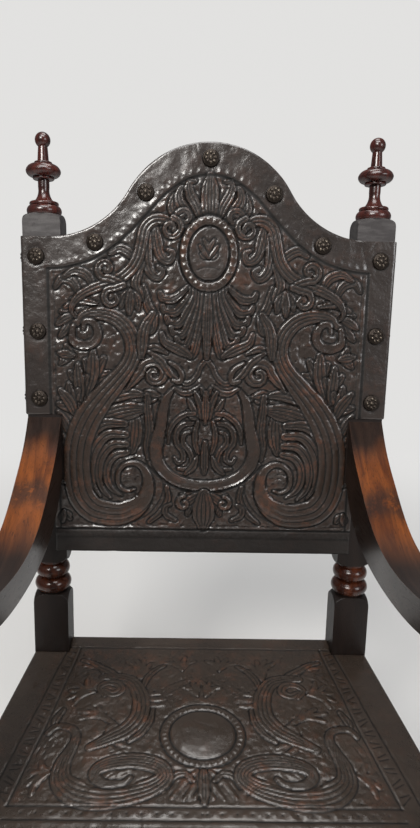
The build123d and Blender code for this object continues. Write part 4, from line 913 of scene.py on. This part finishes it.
def tool_back(hide, random):
    x, y = hide.x, hide.y
    crest = smooth_line(CREST_LINE)
    line_v = np.interp(x, crest[:, 0], crest[:, 1])
    panel = (ramp(line_v - 3 - y, 2) * ramp(y - FOOT_LINE_V - 3, 2) * ramp(SIDE_LINE_HIGH - 3 - x, 2)
             * np.where(y < ARM_HIGH, ramp(SIDE_LINE_LOW - 3 - x, 2), 1))
    hide.matting(panel, 0.55, 1.0, random)
    hide.worked = panel * 0.45
    for work in BACK_WORK:
        work(hide)


BACK_NAIL_SPOTS = [(0, 792), (95.25, 742.94), (171.3, 670.5), (260, 649), (260, 537), (260, 433)]
FOLD_AT = 279.0           # where the hide starts round the post's outer edge
FOLD_R = 4.0
QUARTER = pi / 2


def on_posts(s, v, h):
    """Places of flat points, bent round the posts and under the lower rail."""
    side, flat = np.sign(s), np.abs(s)
    turn = np.clip((flat - FOLD_AT) / FOLD_R, 0, QUARTER)
    run = np.clip(flat - FOLD_AT - FOLD_R * QUARTER, 0, None)
    across = np.minimum(flat, FOLD_AT) + (FOLD_R + h) * np.sin(turn)
    out = LEATHER - FOLD_R + (FOLD_R + h) * np.cos(turn) - run
    across = np.where(turn > 0, across, flat)
    out = np.where(turn > 0, out, LEATHER + h)
    tuck = np.clip((HIDE_FOOT + FOLD_R - v) / FOLD_R, 0, QUARTER)
    under = np.clip(HIDE_FOOT + FOLD_R - v - FOLD_R * QUARTER, 0, None)
    bent = v < HIDE_FOOT + FOLD_R
    up = np.where(bent, HIDE_FOOT + FOLD_R - (FOLD_R + h) * np.sin(tuck), v)
    out = np.where(bent, LEATHER - FOLD_R + (FOLD_R + h) * np.cos(tuck) - under, out)
    return on_back(side * across, up, out)


def make_back_hide():
    """The back hide, on a grid that is fine where the work is and wide on the folds."""
    bend = FOLD_AT + FOLD_R * QUARTER
    flange = bend + WRAP_D - 1.0
    under = HIDE_FOOT + FOLD_R - FOLD_R * QUARTER
    fold = under - FOLD_D + 1.0
    half = steps(0, 1.78, ARM_SLOT, 1.88, LOW_HALF, 2.2, FOLD_AT, 2.1, bend, 5.0, flange)
    across = mirrored(half)
    along = steps(fold, 4.5, under, 2.1, HIDE_FOOT + FOLD_R, 3.0, 206, 1.85, ARM_LOW, 1.77, ARM_HIGH,
                  1.77, HIDE_TOP)
    hide = Hide(across, along)
    random = np.random.default_rng(7)
    tool_back(hide, random)
    near_fold = np.minimum((hide.y - HIDE_FOOT) / CALM_FOLD, (FOLD_AT - hide.x) / CALM_FOLD)
    hide.unevenness(near_fold, 0.15, random)
    hide.wear(random, 150, 40)
    hide.press_nails(BACK_NAIL_SPOTS)
    mid_x = np.abs((across[1:] + across[:-1]) / 2)[None, :]
    mid_y = ((along[1:] + along[:-1]) / 2)[:, None]
    beside_arms = np.where(mid_y < ARM_HIGH, mid_x < ARM_SLOT, True)
    kept = np.where(mid_y < ARM_LOW, mid_x < LOW_HALF, beside_arms)
    kept &= (mid_y > under) | (mid_x < POST_INNER - LEATHER_GAP)
    tops = ogee(np.minimum(np.abs(across), POST_OUTER))
    pitch = along[-1] - along[-2]
    last = np.searchsorted(along, tops - 0.35 * pitch, side="right") - 1
    rows = np.arange(len(along) - 1)[:, None]
    kept &= (rows + 1 <= np.minimum(last[1:], last[:-1])[None, :])

    def cut_edge(index, flat_x, flat_y):
        """Faces between the last whole squares and the curved top."""
        faces = []
        for c, row in enumerate(last):
            flat_y[index[row + 1, c]] = tops[c]
        for c in range(len(across) - 1):
            left, right = last[c], last[c + 1]
            low = min(left, right)
            ring = [index[low, c], index[low, c + 1]]
            ring += [index[r, c + 1] for r in range(low + 1, right + 2)]
            ring += [index[r, c] for r in range(left + 1, low, -1)]
            faces.append(ring)
        return faces

    return hide_piece("back_hide", hide, kept, on_posts, 14.0, back_hide_finish,
                      cut_edge)


back_hide = make_back_hide()
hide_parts("back_leather")
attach(back_hide, "root")


# ---- the seat hide ----
EDGE_R = 4.0
SEAT_CUT_DARKENING = 0.66           # the seat's cuts are darkened less than those of the back, dirt and painted shade alike
SEAT_RELIEF = 0.76        # and wears its raised work down
SEAT_OVAL_Y = -161.0      # middle of the plain oval
SEAT_OUTER_LINE = [(222, 14), (225, 2), (236, -52), (245, -104), (254, -150), (263, -196), (272, -242),
                   (280, -286)]
SEAT_INNER_LINE = [(203, 8), (206, -15), (213, -58), (219, -96), (227, -148), (236, -194), (243, -232),
                   (250, -269)]
SEAT_VOLUTE = [(222, -162), (214, -151), (200, -150), (186, -156), (181, -170), (186, -190), (192, -210),
               (190, -232), (174, -247), (150, -254), (120, -255), (90, -249), (66, -240), (52, -226),
               (62, -211), (90, -204), (118, -206), (140, -214), (146, -226), (132, -237), (108, -236),
               (98, -228)]
SEAT_CURVE = [(152, -84), (138, -90), (126, -82), (132, -70), (148, -68), (160, -78), (150, -94)]
SEAT_BODY = [(158, -56), (136, -56), (112, -64), (98, -84), (92, -108), (95, -134), (112, -156),
             (138, -172), (160, -184)]


def seat_half(y):
    """Outer half width of the seat hide."""
    return SEAT_BACK_HALF + (SEAT_FRONT_HALF - SEAT_BACK_HALF) * np.clip(-y / SEAT_RUN, 0, 1)


def seat_combs(hide):
    """Sprays of short fingers, each with a line down its middle."""
    combs = (((100, -60), ((82, -50), (76, -38), (82, -26), (94, -18), (108, -16), (122, -22))),
             ((96, -96), ((78, -84), (64, -88), (56, -98), (58, -110))),
             ((166, -86), ((182, -62), (196, -70), (204, -84), (206, -100), (196, -112))),
             ((150, -52), ((160, -34), (176, -26), (192, -32))),
             ((122, -148), ((140, -128), (156, -116), (172, -114), (186, -122), (182, -136))),
             ((140, -160), ((126, -146), (112, -152), (104, -166), (104, -182), (110, -194))),
             ((30, -40), ((10, -20), (26, -12), (44, -14), (58, -24))),
             ((6, -92), ((0, -62), (14, -64), (30, -74))),
             ((204, -222), ((222, -206), (232, -222), (232, -240), (224, -254))),
             ((0, -210), ((12, -256), (26, -258), (42, -256), (54, -248))))
    for root, tips in combs:
        for i, tip in enumerate(tips):
            bow = 0.22 * (i - (len(tips) - 1) / 2) / len(tips) * 2
            dx, dy = tip[0] - root[0], tip[1] - root[1]
            middle = (root[0] + dx * 0.55 - dy * bow, root[1] + dy * 0.55 + dx * bow)
            hide.ribbon([root, middle, tip], (3, 9, 5), 0.35, 0, None, 0.4)
            hide.line([root, middle, tip], 0.9, 0.5)


def seat_leaves(hide):
    """Plain curved leaves between the sprays."""
    hide.ribbon([(196, -20), (178, -26), (160, -38), (142, -48), (130, -60)], (5, 8, 10, 10, 8), 1.1, 1)
    hide.ribbon([(60, -30), (74, -40), (86, -56), (92, -76)], (5, 8, 9, 6), 1.0, 1)
    hide.ribbon([(74, -118), (78, -140), (90, -160), (104, -172)], (5, 9, 10, 6), 1.0, 1)
    hide.ribbon([(208, -120), (216, -140), (214, -154)], (6, 10, 6), 1.0, 1)
    hide.ribbon([(14, -232), (26, -222), (40, -226), (48, -240)], (5, 8, 8, 5), 1.0, 1)
    hide.leaf([(0, -214), (0, -236), (0, -262)], 14, 1.0, 2)


def seat_strokes(hide):
    """Pairs of fine strokes, a raised one beside a cut one."""
    for points in (((70, -84), (88, -104), (82, -128), (66, -146)),
                   ((80, -78), (98, -100), (92, -130), (76, -152)),
                   ((118, -176), (140, -186), (162, -190)), ((108, -186), (132, -196), (160, -198)),
                   ((60, -186), (44, -204), (30, -214)), ((70, -190), (54, -212), (38, -222)),
                   ((172, -40), (190, -48), (202, -62)), ((164, -48), (184, -56), (196, -68)),
                   ((216, -168), (226, -190), (228, -212)), ((210, -178), (218, -196), (220, -216)),
                   ((100, -218), (118, -224), (128, -232)), ((20, -60), (44, -70), (62, -84)),
                   ((12, -66), (36, -80), (54, -92)), ((196, -256), (214, -246), (226, -232))):
        hide.line(points, 1.0, 0.6)
        hide.line([(px + 2.0, py + 2.0) for px, py in points], 1.0, -0.5)


def seat_scrolls(hide):
    """The large scroll of each side and the volute that ends it."""
    hide.ribbon(SEAT_BODY, (10, 16, 20, 24, 26, 26, 24, 18, 10), 1.0, 3, None, 0.8)
    hide.ribbon(SEAT_CURVE, (8, 11, 12, 11, 9, 7, 5), 1.0, 1, None, 0.8)
    hide.ribbon(SEAT_VOLUTE, (8, 9, 10, 12, 16, 22, 28, 34, 36, 34, 30, 28, 25, 22, 22, 22, 22, 20, 16,
                              12, 9, 6), 1.2, 4, None, 0.9)
    hide.studs([(212, -162)], 9.0, 1.3)


def seat_oval(hide):
    """A raised oval with a beaded rim, and how far each point lies inside it."""
    reach = (hide.x / 62) ** 2 + ((hide.y - SEAT_OVAL_Y) / 53) ** 2
    inside = np.clip((1 - reach) * 9, 0, 1)
    hide.level(inside, 0.4 + 3.0 * np.clip(1 - reach * 1.6, 0, 1), 1)
    for wide, tall, rise in ((62, 53, -1.1), (48, 40.5, -1.2), (51, 43.5, 0.6), (59, 50, 0.5)):
        hide.line(oval(wide, tall, SEAT_OVAL_Y), 1.5, rise)
    hide.studs(oval(55, 46.8, SEAT_OVAL_Y, 21, 0), 2.6, 1.2)
    return inside


def seat_borders(hide, random):
    """Lines along the edges, with stamps between them."""
    for line in (SEAT_OUTER_LINE, SEAT_INNER_LINE):
        hide.line(line, 1.9, -0.9)
        hide.line([(px + 4, py) for px, py in line], 1.5, 0.5)
    for level, rise in ((-269, -0.9), (-265, 0.5), (-286, -0.9), (-290, 0.6), (12, 0.5), (8, -0.8)):
        hide.line([(-5, level), (120, level), (252, level)], 1.7, rise)
    outer, inner_line = smooth_line(SEAT_OUTER_LINE, 6.5), smooth_line(SEAT_INNER_LINE, 6.5)
    for i in range(2, min(len(outer), len(inner_line)) - 1):
        a, b = outer[i], inner_line[min(i, len(inner_line) - 1)]
        middle = (a + b) / 2
        if i % 3:
            slant = np.array([0, random.uniform(-3.5, 3.5)])
            lean = (a - b) * 0.26
            ends = tuple(middle + lean + slant), tuple(middle - lean - slant)
            hide.line([ends[0], tuple(middle), ends[1]], 1.3, -0.9)
        else:
            hide.studs([tuple(middle)], 3.2, 1.2)
    for i, px in enumerate(np.arange(3, 250, 9.5)):
        hide.studs([(px, -277.5)], 3.2 if i % 2 else 2.0, 0.7 if i % 2 else -0.9)
    hide.studs(smooth_line([(4, 1), (100, 1), (200, 1)], 12.0), 3.0, 0.35)


def tool_seat(hide, random):
    inner = np.array(SEAT_INNER_LINE)
    line_x = np.interp(-hide.y, -inner[:, 1], inner[:, 0])
    panel = ramp(line_x - 3 - hide.x, 2) * ramp(hide.y + 266, 2) * ramp(6 - hide.y, 2)
    hide.matting(panel, 0.35, 0.8, random)
    hide.worked = panel * 0.3
    for work in (seat_combs, seat_leaves, seat_strokes, seat_scrolls):
        work(hide)
    inside = seat_oval(hide)
    seat_borders(hide, random)
    hide.h = hide.h * (inside + (1 - inside) * SEAT_RELIEF)
    hide.ink *= SEAT_CUT_DARKENING


def on_rails(x, y, h):
    """Places of flat points, bent down over the front, the rear and the two side rails."""
    side, flat = np.sign(x), np.abs(x)
    half = seat_half(y) - EDGE_R
    turn = np.clip((flat - half) / EDGE_R, 0, QUARTER)
    run = np.clip(flat - half - EDGE_R * QUARTER, 0, None)
    radius = EDGE_R + h
    across = np.where(turn > 0, half + radius * np.sin(turn), flat)
    z = np.where(turn > 0, SEAT_H - EDGE_R + radius * np.cos(turn) - run, SEAT_H + h)
    back = y
    for sign, edge in ((-1, SEAT_FRONT), (1, SEAT_REAR)):
        over = sign * y - (edge - EDGE_R)
        tip = np.clip(over / EDGE_R, 0, QUARTER)
        drop = np.clip(over - EDGE_R * QUARTER, 0, None)
        back = np.where(over > 0, sign * (edge - EDGE_R + radius * np.sin(tip)), back)
        z = np.where(over > 0, SEAT_H - EDGE_R + radius * np.cos(tip) - drop, z)
    return on_seat(side * across, back, z)


def seat_nail_spots(flat_skirt):
    """Where the nails go through the flat hide: front, then sides."""
    drop = flat_skirt - (SKIRT - NAIL_DROP)
    front = [(FRONT_NAIL_PITCH * i, -(SEAT_FRONT + drop - EDGE_R * 0.43)) for i in range(4)]
    return front + [(seat_half(y) + drop - EDGE_R * 0.43, y) for y in SIDE_NAILS_Y]


def make_seat_hide():
    """The seat hide, on a grid that widens with the seat towards the front."""
    bend = EDGE_R * QUARTER
    notch_y, notch_front_y = -LEATHER_GAP, -SEAT_RUN + LEATHER_GAP
    half_rear = (POST_INNER - LEATHER_GAP) / (SEAT_BACK_HALF - EDGE_R)
    half_front = (FRONT_POST_INNER - LEATHER_GAP) / (SEAT_FRONT_HALF - EDGE_R)
    pitch = 1.78 / (SEAT_FRONT_HALF - EDGE_R)
    share = steps(0, pitch, half_rear, pitch, half_front, pitch * 1.3, 1.0)
    lip = steps(0, 2.1, bend, 7.5, bend + SKIRT - EDGE_R)[1:]
    front, rear = SEAT_FRONT - EDGE_R, SEAT_REAR - EDGE_R
    along = steps(-(front + bend + SKIRT - EDGE_R), 7.5, -(front + bend), 2.1, -front, 2.6,
                  notch_front_y, 1.76, notch_y, 1.9, rear, 2.1, rear + bend, 6.0,
                  rear + bend + REAR_SKIRT - EDGE_R)
    share_all = mirrored(np.concatenate([share, np.ones(len(lip))]))
    lip_all = mirrored(np.concatenate([np.zeros(len(share)), lip]))
    hide = Hide(share_all, along)
    half = seat_half(hide.grid_y) - EDGE_R
    hide.grid_x = share_all[None, :] * half + lip_all[None, :]
    hide.x = np.abs(hide.grid_x).ravel()
    random = np.random.default_rng(11)
    tool_seat(hide, random)
    near_fold = np.minimum((SEAT_REAR - hide.y) / CALM_FOLD, (hide.y + SEAT_FRONT) / CALM_FOLD)
    hide.unevenness(near_fold, 0.1, random)
    hide.wear(random, 130, 50)
    hide.h *= ramp(seat_half(hide.y) - hide.x, 10)
    hide.press_nails(seat_nail_spots(bend + SKIRT - EDGE_R))
    mid_share = np.abs((share_all[1:] + share_all[:-1]) / 2)[None, :]
    mid_y = ((along[1:] + along[:-1]) / 2)[:, None]
    kept = np.where(mid_y > notch_y, mid_share < half_rear,
                    np.where(mid_y < notch_front_y, mid_share < half_front, mid_share <= 1.0))
    return hide_piece("seat_hide", hide, kept, on_rails, 16.0, seat_hide_finish)


seat_hide = make_seat_hide()
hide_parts("seat_leather")
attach(seat_hide, "root")


# ---- nails ----
BEADS = 8
BEAD_AT = 7.3             # from the middle of the head
BEAD_RISE = 1.5
RIM_AT = 11.9
HEAD_RINGS, HEAD_TURNS = 15, 56


def rosette_nail():
    """One domed nail head with a middle bead, a ring of beads and a plain rim, facing up."""
    turns = HEAD_TURNS
    points, lifts = [(0, 0, NAIL_DOME)], [1.0]
    for radius in NAIL_R * np.linspace(0, 1, HEAD_RINGS + 1)[1:]:
        share = radius / NAIL_R
        dome = (NAIL_DOME - 1.6) * sqrt(max(1 - share ** 2.4, 0)) + 0.4
        for k in range(turns):
            angle = 2 * pi * k / turns
            turn = (angle + pi / BEADS) % (2 * pi / BEADS) - pi / BEADS
            off = sqrt(radius ** 2 + BEAD_AT ** 2 - 2 * radius * BEAD_AT * cos(turn))
            rise = (BEAD_RISE * np.exp(-(radius / 2.6) ** 4) + BEAD_RISE * np.exp(-(off / 2.1) ** 4)
                    + 0.7 * bump(radius - RIM_AT, 0.9))
            level, lift = (dome - 0.5 + rise, min(1.0, rise / 1.3)) if share < 1 else (0.0, 0.2)
            points.append((radius * cos(angle), radius * sin(angle), level))
            lifts.append(lift)
    last = 1 + (HEAD_RINGS - 1) * turns
    faces = [[0, 1 + k, 1 + (k + 1) % turns] for k in range(turns)]
    for a in range(1, last, turns):
        b = a + turns
        faces += [[a + k, b + k, b + (k + 1) % turns, a + (k + 1) % turns] for k in range(turns)]
    faces.append([last + k for k in reversed(range(turns))])
    piece = new_piece("nail_pattern", np.array(points) * MM, faces, bronze)
    carry(piece.data, "lift", lifts)
    return piece


nail_pattern = rosette_nail()


def driven_nails(name, places, node):
    """Nail heads on a set of places, each turned its own way round its shank."""
    random = np.random.default_rng(len(places))
    spun = [place @ Matrix.Rotation(random.uniform(0, 2 * pi), 4, "Z") for place in places]
    mesh = bpy.data.meshes.new(name)
    mesh.from_pydata([tuple(place.translation) for place in places], [], [])
    layer = mesh.attributes.new("turn", "FLOAT_VECTOR", "POINT")
    layer.data.foreach_set("vector", np.array([tuple(s.to_euler()) for s in spun], np.float32).ravel())
    tree = bpy.data.node_groups.new(name + "_driving", "GeometryNodeTree")
    tree.interface.new_socket("Places", in_out="INPUT", socket_type="NodeSocketGeometry")
    tree.interface.new_socket("Nails", in_out="OUTPUT", socket_type="NodeSocketGeometry")
    start, heads, real, painted, end, pattern, turn, rotation = (tree.nodes.new(kind) for kind in (
        "NodeGroupInput", "GeometryNodeInstanceOnPoints", "GeometryNodeRealizeInstances",
        "GeometryNodeSetMaterial", "NodeGroupOutput", "GeometryNodeObjectInfo",
        "GeometryNodeInputNamedAttribute", "FunctionNodeEulerToRotation"))
    pattern.inputs["Object"].default_value = nail_pattern
    turn.data_type = "FLOAT_VECTOR"
    turn.inputs["Name"].default_value = "turn"
    painted.inputs["Material"].default_value = bronze
    for a, b in ((start, heads), (heads, real), (real, painted), (painted, end), (turn, rotation)):
        tree.links.new(a.outputs[0], b.inputs[0])
    tree.links.new(pattern.outputs["Geometry"], heads.inputs["Instance"])
    tree.links.new(rotation.outputs[0], heads.inputs["Rotation"])
    piece = new_object(name, mesh)
    piece.modifiers.new("driving", "NODES").node_group = tree
    settle(piece)
    stand_in(piece, node)


def facing_turn(facing):
    """The turn that brings a nail's axis from up to the way it faces."""
    return Vector((0, 0, 1)).rotation_difference(Vector(facing).normalized()).to_matrix().to_4x4()


def raked_place(across, up, out, facing):
    """A place on the raked back, where facing is in the raked frame."""
    lean = Matrix.Rotation(-RAKE, 4, "X")
    return Matrix.Translation(Vector(on_back(across, up, out))) @ lean @ facing_turn(facing)


def level_place(x, y, facing):
    """A place on the seat's skirt."""
    return Matrix.Translation(Vector(on_seat(x, y, SEAT_H - NAIL_DROP))) @ facing_turn(facing)


back_spots = BACK_NAIL_SPOTS[:1] + [(side * px, py) for px, py in BACK_NAIL_SPOTS[1:]
                                    for side in (-1, 1)]
driven_nails("back_rosettes", [raked_place(px, py, LEATHER, (0, -1, 0)) for px, py in back_spots],
             "back_nails")
FLARE = (SEAT_FRONT_HALF - SEAT_BACK_HALF) / SEAT_RUN
for side, word in ((-1, "left"), (1, "right")):
    sides = [raked_place(side * (POST_OUTER + LEATHER), py, POST_NAIL_OUT, (side, 0, 0))
             for _, py in BACK_NAIL_SPOTS[3:]]
    driven_nails("side_rosettes_" + word, sides, "side_nails_" + word)
    skirt = [level_place(side * seat_half(y), y, (side, FLARE, 0)) for y in SIDE_NAILS_Y]
    driven_nails("seat_rosettes_" + word, skirt, "seat_nails_" + word)
front = [level_place(FRONT_NAIL_PITCH * i, -SEAT_FRONT, (0, -1, 0)) for i in range(-3, 4)]
driven_nails("seat_rosettes_front", front, "seat_nails_front")
bpy.data.objects.remove(nail_pattern)


# ---- wood ----
HARD_EDGE = 30            # degrees from which an edge is rubbed round
SHORTEST_EDGE = 3         # edges shorter than this many widths are left


def eased(node, finish, width):
    """The node's shape with its hard edges rubbed round, standing for the node."""
    shape = bmesh.new()
    shape.from_mesh(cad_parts[node].data)
    bmesh.ops.remove_doubles(shape, verts=shape.verts, dist=2e-6)
    bmesh.ops.dissolve_limit(shape, angle_limit=radians(0.6), verts=shape.verts, edges=shape.edges)
    shortest = SHORTEST_EDGE * width * MM
    hard = [e for e in shape.edges if len(e.link_faces) == 2
            and e.calc_face_angle(0.0) > radians(HARD_EDGE) and e.calc_length() > shortest]
    edge = shape.faces.layers.float.new("edge")
    rounded = bmesh.ops.bevel(shape, geom=hard, offset=width * MM, segments=2, profile=0.5,
                              affect="EDGES", clamp_overlap=True)["faces"]
    for face in rounded:
        face[edge] = 1.0
    bmesh.ops.remove_doubles(shape, verts=shape.verts, dist=1e-6)
    mesh = bpy.data.meshes.new("eased_" + node)
    shape.to_mesh(mesh)
    shape.free()
    mesh.materials.clear()
    mesh.materials.append(finish)
    mesh.shade_smooth()
    mesh.set_sharp_from_angle(angle=radians(38))
    piece = new_object("eased_" + node, mesh)
    flats = piece.modifiers.new("flats", "WEIGHTED_NORMAL")
    flats.keep_sharp = True
    flats.weight = 100
    settle(piece)
    stand_in(piece, node)


post_finish, arm_finish, finial_finish = post_wood(), arm_wood(), turned_mahogany()
for word in ("left", "right"):
    eased("rear_post_" + word, post_finish, 1.3)
    eased("arm_" + word, arm_finish, 2.2)
    eased("seat_rail_" + word, walnut_deep, 1.2)
    eased("side_stretcher_" + word, walnut_deep, 1.6)
for node, width in (("crest_rail", 1.2), ("lower_back_rail", 1.2), ("seat_rail_front", 1.2),
                    ("seat_rail_rear", 1.2), ("middle_stretcher", 1.4), ("rear_stretcher", 1.4)):
    eased(node, walnut_across, width)

TURNED_SIDES = 72
TURNED_STEP = 0.8         # height between rings
TURNED_EASE = 0.12        # rings this far above and below each edge


def turned(node, finish):
    """The node's shape turned afresh on its own axis, with every edge a little eased."""
    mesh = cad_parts[node].data
    right = np.array([1.0, 0, 0])
    axis, out = np.array([0.0, sin(RAKE), cos(RAKE)]), np.array([0.0, -cos(RAKE), sin(RAKE)])
    spots = np.array([vertex.co for vertex in mesh.vertices]) / MM
    across, depth, up = spots[:, 0], spots @ out, spots @ axis
    foot, top = up.min(), up.max()
    middle_across, middle_depth = (across.min() + across.max()) / 2, (depth.min() + depth.max()) / 2
    radius = np.hypot(across - middle_across, depth - middle_depth)
    ends = np.array([edge.vertices[:] for edge in mesh.edges])
    low, high = up[ends].min(1), up[ends].max(1)
    levels = np.concatenate([np.arange(foot + 0.05, top - 0.05, TURNED_STEP), up - TURNED_EASE,
                             up + TURNED_EASE, [foot + 0.01, top - 0.01]])
    levels = np.unique(np.round(levels[(levels > foot) & (levels < top)], 1))

    def point(x, y, level):
        return (middle_across + x) * right + (middle_depth + y) * out + level * axis

    points = [point(0, 0, foot)]
    for level in levels:
        first, second = ends[(low < level) & (high > level)].T
        share = (level - up[first]) / (up[second] - up[first])
        wide = (radius[first] * (1 - share) + radius[second] * share).max()
        points += [point(wide * cos(turn), wide * sin(turn), level)
                   for turn in np.arange(TURNED_SIDES) * 2 * pi / TURNED_SIDES]
    points.append(point(0, 0, top))
    faces, last = [], len(points) - 1
    for i in range(TURNED_SIDES):
        j = (i + 1) % TURNED_SIDES
        faces.append((0, 1 + i, 1 + j))
        faces += [(base + i, base + TURNED_SIDES + i, base + TURNED_SIDES + j, base + j)
                  for base in range(1, last - TURNED_SIDES, TURNED_SIDES)]
        faces.append((last - TURNED_SIDES + i, last, last - TURNED_SIDES + j))
    piece = new_piece("turned_" + node, np.array(points) * MM, faces, finish)
    close_up(piece.data)
    stand_in(piece, node)


def paint(nodes, finish):
    """Gives nodes that stay as they are their finish."""
    for node in nodes:
        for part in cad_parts[node].material_slots:
            part.material = finish


for word in ("left", "right"):
    turned("finial_" + word, finial_finish)
paint(("front_post_left", "front_post_right"), walnut_up)
paint(("front_stretcher",), walnut_across)
paint(("lengthwise_straps", "crosswise_straps"), plain_strap())
paint(("back_tacks", "seat_tacks", "strap_tacks"), black_iron())
paint(("back_pegs", "arm_pegs", "seat_pegs", "stretcher_pegs"), peg_grain())


# ---- floor, light and camera ----
BACKDROP = (0.76, 0.755, 0.745, 1.0)
FLOOR_HALF = 14.0


def pale_ground():
    """Matt near the chair, so that it keeps the shadow, and as pale as the backdrop further off."""
    f = Finish("pale_floor")
    to_camera = f.node("LightPath").outputs["Is Camera Ray"]
    away = Value(f, f.node("VectorMath", {0: f.place}, operation="LENGTH").outputs["Value"])
    matt = f.node("BsdfDiffuse", {"Color": (0.80, 0.795, 0.785, 1.0)})
    far = f.node("Emission", {"Color": BACKDROP, "Strength": 1.0})
    share = away.between(0.7, 2.2) * Value(f, to_camera)
    both = f.node("MixShader", {0: share, 1: matt.outputs[0], 2: far.outputs[0]})
    f.node("OutputMaterial", {0: both.outputs[0]})
    return f.made


corners = [(x * FLOOR_HALF, y * FLOOR_HALF, 0) for x, y in ((-1, -1), (1, -1), (1, 1), (-1, 1))]
floor = new_piece("floor", corners, [[0, 1, 2, 3]], pale_ground(), smooth=False)

studio = Finish("studio", bpy.data.worlds)
glow = studio.node("Background", {"Color": (0.95, 0.97, 1.0, 1.0), "Strength": 0.17})
seen = studio.node("Background", {"Color": BACKDROP, "Strength": 1.0})
either = studio.node("MixShader", {0: studio.node("LightPath").outputs["Is Camera Ray"],
                                   1: glow.outputs[0], 2: seen.outputs[0]})
studio.node("OutputWorld", {0: either.outputs[0]})
bpy.context.scene.world = studio.made


def soft_box(name, place, aim_up, wide, tall, watts, colour=(1.0, 1.0, 1.0)):
    """A lamp that faces the middle of the chair at that height."""
    lamp = bpy.data.lights.new(name, "AREA")
    lamp.shape, lamp.size, lamp.size_y, lamp.energy, lamp.color = "RECTANGLE", wide, tall, watts, colour
    holder = new_object(name, lamp)
    holder.location = place
    holder.rotation_euler = (Vector((0, 0, aim_up)) - Vector(place)).to_track_quat("-Z", "Y").to_euler()


soft_box("window", (-0.9, -1.9, 2.7), 0.8, 1.0, 0.6, 70, (1.0, 0.975, 0.94))
soft_box("room", (1.9, -1.5, 1.9), 0.8, 1.0, 1.0, 24, (0.98, 0.985, 1.0))
soft_box("above", (0.0, -0.35, 2.6), 0.8, 1.2, 0.6, 22)
soft_box("behind", (0.1, 0.72, 2.9), 0.5, 1.0, 0.5, 13, (1.0, 0.98, 0.95))

CAMERA_AT = (-0.0327, -0.6723, 1.1842)
CAMERA_YAW, CAMERA_PITCH, CAMERA_ROLL = 0.00693, 0.35472, 0.017274
FOCAL_PX, TALL_PX, MIDDLE_OFF_PX = 584.08, 828.0, 21.5
SENSOR = 36.0


def make_camera():
    forward = Vector((sin(CAMERA_YAW) * cos(CAMERA_PITCH), cos(CAMERA_YAW) * cos(CAMERA_PITCH),
                      -sin(CAMERA_PITCH)))
    level = Vector((cos(CAMERA_YAW), -sin(CAMERA_YAW), 0.0))
    rise = level.cross(forward)
    right = level * cos(CAMERA_ROLL) + rise * sin(CAMERA_ROLL)
    top = rise * cos(CAMERA_ROLL) - level * sin(CAMERA_ROLL)
    data = bpy.data.cameras.new("camera")
    data.sensor_fit = "AUTO"
    data.sensor_width = SENSOR
    data.lens = SENSOR * FOCAL_PX / TALL_PX
    data.shift_x = MIDDLE_OFF_PX / TALL_PX
    data.clip_start = 0.01
    camera = new_object("camera", data)
    turned_so = Matrix((right, top, -forward)).transposed().to_4x4()
    camera.matrix_world = Matrix.Translation(CAMERA_AT) @ turned_so
    bpy.context.scene.camera = camera


make_camera()
bpy.context.scene.view_settings.view_transform = "Standard"
